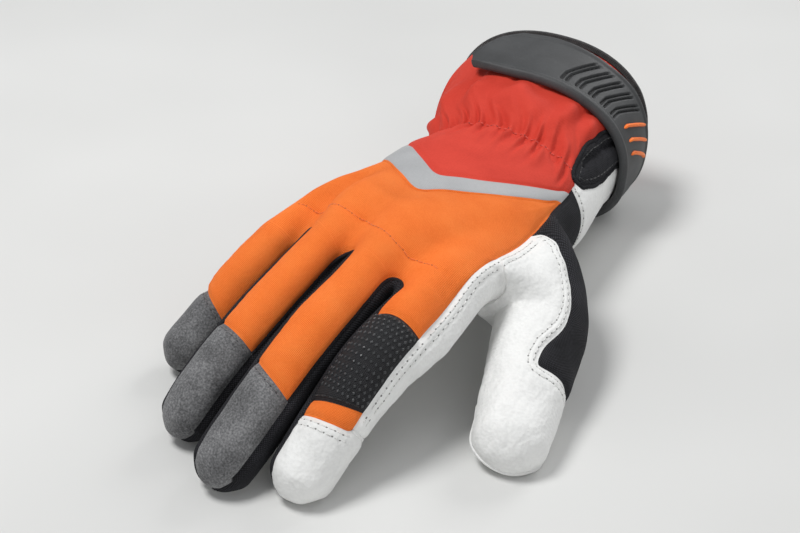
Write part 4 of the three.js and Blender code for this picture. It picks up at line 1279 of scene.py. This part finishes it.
class Nodes:
    """Makes and links the nodes of one material."""

    def __init__(self, name, roughness, sheen=0.0, specular=0.5, sheen_tint="#FFFFFF"):
        self.material = bpy.data.materials.get(name) or bpy.data.materials.new(name)
        self.material.use_nodes = True
        self.tree = self.material.node_tree
        self.tree.nodes.clear()
        self.shader = self.tree.nodes.new("ShaderNodeBsdfPrincipled")
        output = self.tree.nodes.new("ShaderNodeOutputMaterial")
        self.link(self.shader.outputs[0], output.inputs[0])
        self.shader.inputs["Roughness"].default_value = roughness
        self.shader.inputs["Sheen Weight"].default_value = sheen
        self.shader.inputs["Sheen Roughness"].default_value = 0.5
        self.shader.inputs["Sheen Tint"].default_value = linear(sheen_tint)
        self.shader.inputs["Specular IOR Level"].default_value = specular

    def link(self, out, into):
        self.tree.links.new(out, into)

    def node(self, kind, **inputs):
        made = self.tree.nodes.new(kind)
        for key, value in inputs.items():
            made.inputs[key.replace("_", " ")].default_value = value
        return made

    def math(self, operation, a, b=None):
        made = self.tree.nodes.new("ShaderNodeMath")
        made.operation = operation
        for socket, value in zip(made.inputs, (a, b)):
            if value is None:
                continue
            if isinstance(value, (int, float)):
                socket.default_value = value
            else:
                self.link(value, socket)
        return made.outputs[0]

    def space(self):
        return self.tree.nodes.new("ShaderNodeTexCoord").outputs["Object"]

    def weave_place(self):
        uv = self.tree.nodes.new("ShaderNodeUVMap")
        uv.uv_map = "lay"
        split = self.tree.nodes.new("ShaderNodeSeparateXYZ")
        self.link(uv.outputs[0], split.inputs[0])
        return split.outputs[0], split.outputs[1]

    def noise(self, scale, detail=2.0):
        made = self.node("ShaderNodeTexNoise", Scale=scale, Detail=detail)
        self.link(self.space(), made.inputs["Vector"])
        return made.outputs["Fac"]

    def cells(self, scale):
        made = self.node("ShaderNodeTexVoronoi", Scale=scale)
        self.link(self.space(), made.inputs["Vector"])
        return made.outputs["Distance"]

    def colors(self, factor, stops):
        ramp = self.tree.nodes.new("ShaderNodeValToRGB")
        self.link(factor, ramp.inputs[0])
        ramp.color_ramp.elements[0].position = stops[0][0]
        ramp.color_ramp.elements[0].color = linear(stops[0][1])
        ramp.color_ramp.elements[1].position = stops[-1][0]
        ramp.color_ramp.elements[1].color = linear(stops[-1][1])
        for position, color in stops[1:-1]:
            ramp.color_ramp.elements.new(position).color = linear(color)
        return ramp.outputs[0]

    def paint(self, color):
        self.link(color, self.shader.inputs["Base Color"])

    def bump(self, height, depth, strength=1.0, after=None):
        made = self.node("ShaderNodeBump", Strength=strength, Distance=depth * MM)
        self.link(height, made.inputs["Height"])
        if after:
            self.link(after, made.inputs["Normal"])
        self.link(made.outputs[0], self.shader.inputs["Normal"])
        return made.outputs[0]

    def weave(self, pitch, slant=0.0):
        """Height of a woven cloth, with that pitch in millimetres."""
        u, v = self.weave_place()
        turns = 2 * math.pi / pitch
        a = self.math("MULTIPLY", u, turns)
        b = self.math("MULTIPLY", v, turns)
        if slant:
            a, b = self.math("ADD", a, self.math("MULTIPLY", b, slant)), self.math("SUBTRACT", b, a)
        product = self.math("MULTIPLY", self.math("SINE", a), self.math("SINE", b))
        return self.math("ADD", self.math("MULTIPLY", product, 0.5), 0.5)

    def blend(self, first, share, second):
        """Two values mixed, the first one with that share."""
        shares = (self.math("MULTIPLY", first, share), self.math("MULTIPLY", second, 1 - share))
        return self.math("ADD", *shares)


def cloth(name, dark, base, light, pitch, depth, sheen, roughness=0.85, slant=0.0, specular=0.3):
    m = Nodes(name, roughness, sheen, specular, light)
    weave = m.weave(pitch, slant)
    tone = m.blend(weave, 0.45, m.blend(m.noise(90, 3), 0.6, m.noise(1400, 2)))
    m.paint(m.colors(tone, [(0.2, dark), (0.5, base), (0.85, light)]))
    first = m.bump(weave, depth)
    m.bump(m.noise(500, 3), depth * 0.8, 0.5, first)
    return m.material


def leather(name, dark, base, light, grain=1.0, roughness=0.62):
    m = Nodes(name, roughness, 0.12, 0.4)
    pores = m.cells(780)
    patchy = m.blend(m.noise(60, 4), 0.7, m.noise(700, 2))
    m.paint(m.colors(patchy, [(0.25, dark), (0.48, base), (0.8, light)]))
    first = m.bump(pores, 0.16 * grain, 0.8)
    second = m.bump(m.noise(330, 4), 0.3 * grain, 0.6, first)
    m.bump(m.noise(2200, 2), 0.05, 0.6, second)
    return m.material


def suede_leather(name):
    m = Nodes(name, 0.96, 0.45, 0.2, "#9A9A9A")
    nap = m.noise(1500, 4)
    patchy = m.blend(m.noise(110, 4), 0.35, nap)
    m.paint(m.colors(patchy, [(0.32, "#424243"), (0.5, "#666667"), (0.68, "#8A8A8B")]))
    first = m.bump(nap, 0.22)
    m.bump(m.noise(350, 4), 0.35, 0.7, first)
    return m.material


def rubber(name, dark, base, light, roughness=0.58):
    m = Nodes(name, roughness, 0.0, 0.45)
    patchy = m.blend(m.noise(80, 3), 0.6, m.noise(2500, 1))
    m.paint(m.colors(patchy, [(0.3, dark), (0.5, base), (0.75, light)]))
    first = m.bump(m.noise(1800, 2), 0.06, 0.7)
    m.bump(m.noise(200, 2), 0.1, 0.4, first)
    return m.material


def tape(name):
    m = Nodes(name, 0.8, 0.2, 0.3)
    ribs = m.math("SINE", m.math("MULTIPLY", m.weave_place()[0], 2 * math.pi / 0.8))
    m.paint(m.colors(m.noise(300, 3), [(0.3, "#1B1A1A"), (0.5, "#2A2828"), (0.75, "#3A3736")]))
    first = m.bump(ribs, 0.12)
    m.bump(m.noise(900, 2), 0.08, 0.6, first)
    return m.material


def thread(name, color, light):
    m = Nodes(name, 0.6, 0.2, 0.4)
    m.paint(m.colors(m.noise(3000, 2), [(0.3, color), (0.7, light)]))
    m.bump(m.noise(5000, 1), 0.05, 0.6)
    return m.material


ORANGE_CLOTH = cloth("orange_cloth", "#E2601A", "#F77A2C", "#FF934A", 1.0, 0.2, 0.05, slant=1.0)
RED_CLOTH = cloth("red_cloth", "#B02A1C", "#CB3A2A", "#DC4C3A", 0.6, 0.06, 0.05, 0.8)
BAND_CLOTH = cloth("band_cloth", "#8E8F91", "#A4A5A6", "#B8B9BA", 0.7, 0.05, 0.0, 0.5, specular=0.6)
BLACK_CLOTH = cloth("black_cloth", "#0C0C0E", "#1B1B1E", "#46464C", 0.9, 0.3, 0.05, 0.95)
PATCH_CLOTH = cloth("patch_cloth", "#141415", "#1F1F21", "#303033", 1.1, 0.2, 0.03, 0.7, slant=1.0)
WHITE_LEATHER = leather("white_leather", "#D2D2D0", "#E4E4E2", "#EEEEEC", 1.2)
SUEDE = suede_leather("grey_suede")
TAPE = tape("dark_tape")
STRAP_RUBBER = rubber("strap_rubber", "#303132", "#3C3D3E", "#494A4B")
# Near-black rubber for the deep part of each groove: painted shade in the recess.
GROOVE_PAINTED_SHADE = rubber("groove_rubber", "#0B0B0C", "#111112", "#19191A", 0.6)
ORANGE_RUBBER = rubber("orange_rubber", "#E85F14", "#F77720", "#FF8E3C", 0.5)
DOT_RUBBER = rubber("dot_rubber", "#242526", "#333436", "#454648", 0.38)
ORANGE_THREAD = thread("orange_thread", "#D85D1E", "#F27C36")
WHITE_THREAD = thread("white_thread", "#C9C9C6", "#EDEDEA")
GREY_THREAD = thread("grey_thread", "#4A4A4B", "#6A6A6B")
BLACK_THREAD = thread("black_thread", "#0D0D0E", "#2A2A2C")
RED_THREAD = thread("red_thread", "#B52E25", "#E9604F")

# What each panel is made of, its slot and the thread of the stitches that it carries.
FINISHES = [
    (ORANGE_CLOTH, "orange_back_cloth", ORANGE_THREAD, ["back_panel", "index_back_band"]),
    (RED_CLOTH, "red_cuff_cloth", RED_THREAD, ["cuff_back"]),
    (BAND_CLOTH, "reflective_cloth", None, ["reflective_band"]),
    (TAPE, "dark_binding", None, ["cuff_binding"]),
    (WHITE_LEATHER, "white_leather", WHITE_THREAD,
     ["cuff_palm", "palm_leather", "thumb_leather", "index_tip_cap"]),
    (BLACK_CLOTH, "black_stretch_cloth", BLACK_THREAD, ["slit_gusset", "thumb_back_panel"] + FOURCHETTES),
    (PATCH_CLOTH, "touch_mesh", BLACK_THREAD, ["touch_patch"]),
    (SUEDE, "grey_suede", GREY_THREAD, ["little_tip_cap", "ring_tip_cap", "middle_tip_cap"]),
]
FINISH = {panel: (material, slot) for material, slot, _, panels in FINISHES for panel in panels}
THREADS = {panel: (sewing, slot) for _, slot, sewing, panels in FINISHES for panel in panels}


# Meshes of the pieces.

def new_piece(name, positions, polygons, material, uv=None, nodes=(), shade=True, normals=None):
    """A mesh in metres that rides on the glove. uv holds one pair for each corner."""
    mesh = bpy.data.meshes.new(name)
    corners = [tuple(p) for p in np.asarray(positions) * MM]
    mesh.from_pydata(corners, [], [tuple(int(i) for i in f) for f in polygons])
    if uv is not None:
        layer = mesh.uv_layers.new(name="lay")
        layer.data.foreach_set("uv", np.asarray(uv, np.float32).ravel())
    mesh.materials.append(material)
    if shade:
        mesh.polygons.foreach_set("use_smooth", [True] * len(mesh.polygons))
    mesh.update()
    if normals is not None:
        mesh.normals_split_custom_set_from_vertices([tuple(n) for n in normals])
    piece = bpy.data.objects.new(name, mesh)
    bpy.context.scene.collection.objects.link(piece)
    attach(piece, "root")
    if nodes:
        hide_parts(*nodes)
    return piece


def above_floor(positions, height):
    """The positions, none of them lower than that height."""
    raised = np.array(positions)
    raised[:, 2] = np.maximum(raised[:, 2], height)
    return raised


def panel_piece(name):
    material, slot = FINISH[name]
    mask = face_panel == PANEL_ID[name]
    own = faces[mask]
    used = np.unique(own)
    count = len(used)
    place_in_piece = np.full(len(points), -1)
    place_in_piece[used] = np.arange(count)
    wall = LEATHER_WALL if material in (WHITE_LEATHER, SUEDE) else CLOTH_WALL
    depth = np.full(count, float(wall))
    if name == "cuff_binding":
        depth = BINDING_IN * round_share[used]
    inner = above_floor(points[used] - normals[used] * depth[:, None], 0.25)
    top = place_in_piece[own]
    under = top[:, ::-1] + count
    polygons = [tuple(f) for f in top] + [tuple(f) for f in under]
    uv = [tuple(x) for f in lay_uv[mask] for x in f] + [tuple(x) for f in lay_uv[mask][:, ::-1] for x in f]
    directed = dict.fromkeys((int(f[i]), int(f[(i + 1) % 4])) for f in top for i in range(4))
    for a, b in directed:
        if (b, a) not in directed:
            polygons.append((b, a, a + count, b + count))
            uv += [(0, 0), (1, 0), (1, 1), (0, 1)]
    shading = None if name == "cuff_binding" else np.concatenate([shaped_normals[used], -normals[used]])
    return new_piece("glove_" + name, np.concatenate([shaped[used], inner]), polygons, material,
                     uv, (name,), normals=shading)


for name in PANELS:
    panel_piece(name)


# Stitches: small capsules joined into one mesh for each thread, with a small dark disc of
# painted shade, for the shadow in the needle hole, in each gap between them.

shaped_tree = BVHTree.FromPolygons([tuple(p) for p in shaped], [tuple(f) for f in faces])
thread_runs = {}
STITCH = {"sides": 6, "rings": [(0.0, 0.25), (0.12, 0.75), (0.5, 1.0), (0.88, 0.75), (1.0, 0.25)]}
# Shape of the flat disc of painted shade that stands for each needle hole.
HOLE_SHADE_DISC = {"sides": 8, "rings": [(0.0, 1.0), (0.07, 0.7)], "along": 0.46, "across": 0.3, "before": 0.5}


def ring_of(center, first, second, sides):
    """Points round a centre, from the end of one half axis toward the end of the other."""
    turns = [2 * math.pi * k / sides for k in range(sides)]
    return [center + first * math.cos(turn) + second * math.sin(turn) for turn in turns]


def ring_quads(base, rings, sides):
    """Quads between rings of points that follow one another."""
    quads = []
    for ring in range(rings - 1):
        for k in range(sides):
            a = base + ring * sides + k
            b = base + ring * sides + (k + 1) % sides
            quads.append((a, b, b + sides, a + sides))
    return quads


def add_stitches(material, slot, line, length=2.0, gap=1.0, radius=0.25):
    line = np.array([nearest(shaped_tree, p)[0] for p in line])
    jumps = np.linalg.norm(np.diff(line, axis=0), axis=1) >= 4
    runs = thread_runs.setdefault((material.name, slot), [])
    for group in np.split(line, np.where(jumps)[0] + 1):
        if len(group) < 3:
            continue
        reach = reach_along(group)
        at = gap
        while at + length < reach[-1]:
            ends = [place_along(group, reach, x) for x in (at, at + length / 2, at + length)]
            runs.append((ends, radius))
            at += length + gap


# Painted shade: a flat dark disc in each gap between stitches, where the needle hole lies in shadow.
def hole_shade_mesh(name, material, runs):
    positions, polygons = [], []
    sides = HOLE_SHADE_DISC["sides"]
    for (start, _, end), _ in runs:
        along = unit(end - start)
        center, normal, _ = nearest(shaped_tree, start - along * HOLE_SHADE_DISC["before"])
        side = unit(np.cross(normal, along))
        base = len(positions)
        for height, size in HOLE_SHADE_DISC["rings"]:
            positions += ring_of(center + normal * height, along * (HOLE_SHADE_DISC["along"] * size),
                                 side * (HOLE_SHADE_DISC["across"] * size), sides)
        polygons += ring_quads(base, len(HOLE_SHADE_DISC["rings"]), sides)
        polygons.append(tuple(base + sides + k for k in range(sides)))
    return new_piece(name, above_floor(positions, 0.01), polygons, material)


def stitch_mesh(name, material, runs):
    positions, polygons = [], []
    sides = STITCH["sides"]
    for (start, middle, end), radius in runs:
        if np.linalg.norm(end - start) < 0.2:
            continue
        normal = nearest(shaped_tree, middle)[1]
        side = unit(np.cross(normal, unit(end - start)))
        base = len(positions)
        for share, size in STITCH["rings"]:
            lift = -0.9 if share in (0.0, 1.0) else 0.25
            center = mix(start, end, share) + normal * (radius * lift)
            positions += ring_of(center, side * (radius * size), normal * (radius * size), sides)
        polygons += ring_quads(base, len(STITCH["rings"]), sides)
        polygons.append(tuple(base + k for k in reversed(range(sides))))
        last = base + (len(STITCH["rings"]) - 1) * sides
        polygons.append(tuple(last + k for k in range(sides)))
    return new_piece(name, above_floor(positions, 0.02), polygons, material)


for carrier, line in stitch_lines:
    add_stitches(*THREADS[carrier], line)

GATHER_STOPS = [(column, GATHER_VALUE) for column in (0.6, 6, 12, 18.4)]
add_stitches(ORANGE_THREAD, "orange_back_cloth", KNUCKLE_LINE, 2.4, 0.9, 0.24)
add_stitches(RED_THREAD, "red_cuff_cloth", drawn_line(GATHER_STOPS), 1.6, 1.2, 0.28)

# Colours of the needle-hole discs, darker than each thread: painted shade in the holes.
HOLE_SHADE_COLOURS = {
    "white_thread": ("#5F5F5D", "#8A8A87"), "grey_thread": ("#1E1E1F", "#2E2E2F"),
    "black_thread": ("#050505", "#101010"), "red_thread": ("#6E120C", "#8B1D15"),
    "orange_thread": ("#B0480C", "#C65A18"),
}
for (thread_name, slot), runs in thread_runs.items():
    stitch_mesh("stitches_" + thread_name, bpy.data.materials[thread_name], runs)
    hole_shade_material = thread("holes_of_" + thread_name, *HOLE_SHADE_COLOURS[thread_name])
    hole_shade_mesh("needle_holes_" + thread_name, hole_shade_material, runs)


# Piping round the gusset and along the edges of the strips between the fingers.
PIPING_STEP = 0.9


def piping(name, lines, radius, material, sides=8, lift=0.2):
    positions, polygons, uv = [], [], []
    for line in lines:
        line = resample(line, PIPING_STEP)
        if len(line) < 4:
            continue
        soften(line, 2)
        base = len(positions)
        for p, t in zip(line, np.gradient(line, axis=0)):
            normal = nearest(shaped_tree, p)[1]
            side = unit(np.cross(normal, t + 1e-9))
            positions += ring_of(p + normal * lift, side * radius, normal * radius, sides)
        polygons += ring_quads(base, len(line), sides)
        for i in range(len(line) - 1):
            v = i * PIPING_STEP
            for k in range(sides):
                uv += [(k, v), (k + 1, v), (k + 1, v + PIPING_STEP), (k, v + PIPING_STEP)]
        for start in (base, base + (len(line) - 1) * sides):
            ring = [start + k for k in range(sides)]
            polygons.append(tuple(ring if start != base else reversed(ring)))
            uv += [(0, 0)] * sides
    return new_piece(name, above_floor(positions, 0.02), polygons, material, uv)


def seam_runs(first, second):
    pair = tuple(sorted((first, second)))
    return [shaped[run] for run in chains(seam_edges.get(pair, []))]


piping("gusset_piping", seam_runs("cuff_back", "slit_gusset") + seam_runs("cuff_palm", "slit_gusset"),
       0.9, BLACK_CLOTH)
lips = [run for strip in FOURCHETTES for run in seam_runs("back_panel", strip)]
lips += seam_runs("touch_patch", FOURCHETTES[2]) + seam_runs("index_back_band", FOURCHETTES[2])
piping("finger_strip_lips", lips, 0.75, BLACK_CLOTH, lift=-0.1)
leather_lips = [run for strip in FOURCHETTES for run in seam_runs(strip, "palm_leather")]
leather_lips += seam_runs("index_tip_cap", "palm_leather")
piping("leather_lips", leather_lips, 0.6, WHITE_LEATHER, lift=0.05)

# The turned seam round the end of the thumb.
THUMB_SEAM = {"back": 12, "drop": 0.34, "reach": 0.96, "turns": 24}


def thumb_seam_line():
    """A line up one side of the thumb, round its end and down the other."""
    end = THUMB_TUBE.end
    ahead, aside, above = [HAND_TURN @ vec(axis) for axis in THUMB_TUBE.axes_at(end)]
    path = []
    for step in range(THUMB_SEAM["turns"] + 1):
        turn = math.pi * step / THUMB_SEAM["turns"]
        sweep = aside * -math.cos(turn) + ahead * math.sin(turn)
        path.append(sweep * THUMB_TUBE.half_width(end) * THUMB_SEAM["reach"])
    back = ahead * THUMB_SEAM["back"]
    path = [path[0] - back] + path + [path[-1] - back]
    middle = on_floor(THUMB_TUBE.center(end))
    low = above * (-THUMB_SEAM["drop"] * THUMB_TUBE.half_height(end))
    line = resample(np.array([middle + offset + low for offset in path]), PIPING_STEP)
    return np.array([nearest(shaped_tree, p)[0] for p in line])


piping("thumb_tip_lip", [thumb_seam_line()], 0.65, WHITE_LEATHER, lift=0.05)

# Raised diamonds over the patch: their rows along the finger, in millimetres, and round it, in degrees.
DOTS = {"from": 34, "rows": 14, "pitch": 2.0, "around_pitch": 9.6, "each_side": 6, "half_angle": 50}
DOT = {"along": 0.78, "across": 0.62, "rings": [(1.0, -0.1), (0.85, 0.28), (0.45, 0.42)]}


def patch_dots():
    index = TUBES[3]
    positions, polygons = [], []
    for r in range(DOTS["rows"]):
        s = DOTS["from"] + r * DOTS["pitch"]
        for k in range(-DOTS["each_side"], DOTS["each_side"] + 1):
            angle = (k + 0.5 * (r % 2)) * DOTS["around_pitch"]
            if abs(angle) > DOTS["half_angle"]:
                continue
            base = on_floor(index.point(s, angle))
            center, normal, face_index = nearest(shaped_tree, base)
            if PANELS[face_panel[face_index]] != "touch_patch":
                continue
            ahead = on_floor(index.point(s + 1, angle)) - base
            along = unit(ahead - normal * np.dot(ahead, normal))
            side = np.cross(normal, along)
            start = len(positions)
            for size, height in DOT["rings"]:
                positions += ring_of(center + normal * height, along * (DOT["along"] * size),
                                     side * (DOT["across"] * size), 4)
            polygons += ring_quads(start, len(DOT["rings"]), 4)
            polygons.append((start + 8, start + 9, start + 10, start + 11))
    return new_piece("patch_dots", positions, polygons, DOT_RUBBER, shade=False)


patch_dots()


# The moulded wrist strap.

def cuff_point(degrees, value, offset):
    keys = [section_point(section, degrees, offset) for section in SECTIONS]
    return curve_point(keys, unit(keys[-1] - keys[-2]), value)


def strap_offset(degrees):
    share = (degrees - STRAP["tip_lift_from"]) / (STRAP["to"] - STRAP["tip_lift_from"])
    return STRAP["clear"] + STRAP["tip_lift"] * smooth(share)


def groove_bend(w):
    """How far a groove runs ahead round the strap, at a place across it."""
    bent = GROOVES["bend_at"]
    if w > bent:
        return -GROOVES["slant"] * (w - bent)
    return -GROOVES["lean"] * (bent - w)


def strap_relief(degrees, w):
    """Height over the plain strap, and how far the place lies in a groove."""
    border = min(w, 1 - w)
    height = BORDER["rise"] * (1 - smooth((border - BORDER["breadth"]) / BORDER["fade"]))
    groove = 0.0
    if GROOVES["from"] < w < GROOVES["to"]:
        fade = smooth((w - GROOVES["from"]) / GROOVES["fade"])
        fade *= smooth((GROOVES["to"] - w) / GROOVES["fade"])
        for at in GROOVES["at"]:
            for shift in (-GROOVES["pair"] / 2, GROOVES["pair"] / 2):
                gap = abs(degrees - at - shift - groove_bend(w))
                groove = max(groove, (1 - smooth((gap - GROOVES["half"]) / GROOVES["slope"])) * fade)
    return height - GROOVES["depth"] * groove, groove


def strap_row(degrees, w):
    """The row value at a share of the way from the strap's lower edge to its upper one."""
    low, top = [float(np.interp(degrees, STRAP_EDGES["at"], STRAP_EDGES[edge])) for edge in ("low", "top")]
    return mix(low, top, w)


def rounded(share):
    """Height of a quarter circle at a share of its run."""
    return math.sqrt(max(1 - (1 - share) ** 2, 0))


def strap_piece():
    around, across = STRAP_STEPS["around"], STRAP_STEPS["across"]
    shares = np.linspace(0, 1, STRAP_STEPS["sections"])
    outer, inner, uv_places, grooved = [], [], [], []
    for i in range(around + 1):
        degrees = mix(STRAP["from"], STRAP["to"], i / around)
        base = strap_offset(degrees)
        low, high = [np.array([cuff_point(degrees, strap_row(degrees, w), offset) for w in shares])
                     for offset in (base, base + STRAP["wall"])]
        end_share = min((degrees - STRAP["from"]) / STRAP["start_round"],
                        (STRAP["to"] - degrees) / STRAP["end_round"], 1)
        for j in range(across + 1):
            w = j / across
            lower = place_along(low, shares, w)
            outward = unit(place_along(high, shares, w) - lower)
            rounding = rounded(min(min(w, 1 - w) / STRAP["edge_share"], 1)) * rounded(end_share)
            height, groove = strap_relief(degrees, w)
            thickness = (STRAP["wall"] - STRAP["edge_round"]) + STRAP["edge_round"] * rounding
            outer.append(on_floor(lower + outward * (thickness + height * rounding)))
            inner.append(on_floor(lower + outward * (STRAP["under_round"] * (1 - rounding))))
            grooved.append(groove)
            uv_places.append((i * 0.4, j * 0.4))
    count = len(outer)
    polygons, uv, dark = [], [], []

    def quad(a, b, c, d, groove=False):
        polygons.append((a, b, c, d))
        uv.extend(uv_places[x % count] for x in (a, b, c, d))
        dark.append(1 if groove else 0)

    for i in range(around):
        for j in range(across):
            a, b = i * (across + 1) + j, (i + 1) * (across + 1) + j
            # Quads deep in a groove take the near-black rubber: painted shade.
            least = min(grooved[a], grooved[b], grooved[a + 1], grooved[b + 1])
            quad(a, a + 1, b + 1, b, least > GROOVES["painted_shade_from"])
            quad(a + count, b + count, b + 1 + count, a + 1 + count)
        a, b = i * (across + 1), (i + 1) * (across + 1)
        quad(a, b, b + count, a + count)
        quad(a + across, a + across + count, b + across + count, b + across)
    for j in range(across):
        quad(j, j + count, j + 1 + count, j + 1)
        k = around * (across + 1) + j
        quad(k, k + 1, k + 1 + count, k + count)
    piece = new_piece("moulded_strap", np.array(outer + inner), polygons, STRAP_RUBBER,
                      uv, ("wrist_strap",))
    piece.data.materials.append(GROOVE_PAINTED_SHADE)
    piece.data.polygons.foreach_set("material_index", dark)
    return piece


def rib_piece(number, at):
    steps, sides = RIBS["steps"], RIBS["sides"]
    base = STRAP["clear"] + STRAP["wall"] - RIBS["sink"]
    positions = []
    for i in range(steps + 1):
        w = mix(RIBS["from"], RIBS["to"], i / steps)
        taper = math.sqrt(max(1 - (2 * i / steps - 1) ** 8, 0.02))
        for k in range(sides):
            angle = 2 * math.pi * k / sides
            degrees = at + groove_bend(w) + RIBS["arc"] / 2 * math.cos(angle) * taper
            height = base + RIBS["rise"] * max(math.sin(angle), -0.6) * taper
            positions.append(on_floor(cuff_point(degrees, strap_row(at, w), height)))
    polygons = [(a, d, c, b) for a, b, c, d in ring_quads(0, steps + 1, sides)]
    polygons.append(tuple(range(sides)))
    polygons.append(tuple(steps * sides + k for k in reversed(range(sides))))
    return new_piece(f"orange_rib_{number}", positions, polygons, ORANGE_RUBBER,
                     nodes=(f"strap_rib_{number}",))


strap_piece()
for number, at in enumerate(RIBS["at"], 1):
    rib_piece(number, at)


# Floor, light and camera.
CAMERA = {
    "azimuth": 32.8, "elevation": 32.0, "distance": 0.6315, "lens": 76.84,
    "target": (-0.01423, -0.01228, 0.027),
}
FLOOR_HALF = 3.0


def stage_floor():
    mesh = bpy.data.meshes.new("floor")
    corners = [(x * FLOOR_HALF, y * FLOOR_HALF, 0) for x, y in ((-1, -1), (1, -1), (1, 1), (-1, 1))]
    mesh.from_pydata(corners, [], [(0, 1, 2, 3)])
    m = Nodes("floor", 0.9, 0.0, 0.2)
    m.paint(m.colors(m.noise(6, 2), [(0.3, "#CDCDCB"), (0.7, "#D4D4D2")]))
    mesh.materials.append(m.material)
    floor = bpy.data.objects.new("floor", mesh)
    bpy.context.scene.collection.objects.link(floor)


def area_light(name, location, target, size, power):
    light = bpy.data.lights.new(name, "AREA")
    light.shape = "DISK"
    light.size = size
    light.energy = power
    lamp = bpy.data.objects.new(name, light)
    lamp.location = location
    lamp.rotation_euler = (Vector(target) - Vector(location)).to_track_quat("-Z", "Y").to_euler()
    bpy.context.scene.collection.objects.link(lamp)


stage_floor()
area_light("key", (-0.35, -0.25, 1.05), (0, 0, 0.03), 0.4, 8.8)
area_light("fill", (0.95, -0.7, 0.5), (0, 0, 0.03), 0.9, 3.2)
area_light("rim", (0.15, 1.0, 0.7), (0, 0, 0.05), 0.6, 5)

world = bpy.data.worlds.new("studio")
world.use_nodes = True
world.node_tree.nodes["Background"].inputs[0].default_value = (0.9, 0.92, 0.95, 1)
world.node_tree.nodes["Background"].inputs[1].default_value = 0.38
bpy.context.scene.view_settings.view_transform = "Standard"
bpy.context.scene.world = world

camera_data = bpy.data.cameras.new("camera")
camera_data.lens = CAMERA["lens"]
camera_data.sensor_width = 36
camera_data.sensor_fit = "HORIZONTAL"
camera_data.clip_start = 0.01
camera = bpy.data.objects.new("camera", camera_data)
azimuth, elevation = CAMERA["azimuth"], CAMERA["elevation"]
toward = Vector((sine(azimuth) * cosine(elevation), -cosine(azimuth) * cosine(elevation), sine(elevation)))
camera.location = Vector(CAMERA["target"]) + toward * CAMERA["distance"]
camera.rotation_euler = toward.to_track_quat("Z", "Y").to_euler()
bpy.context.scene.collection.objects.link(camera)
bpy.context.scene.camera = camera
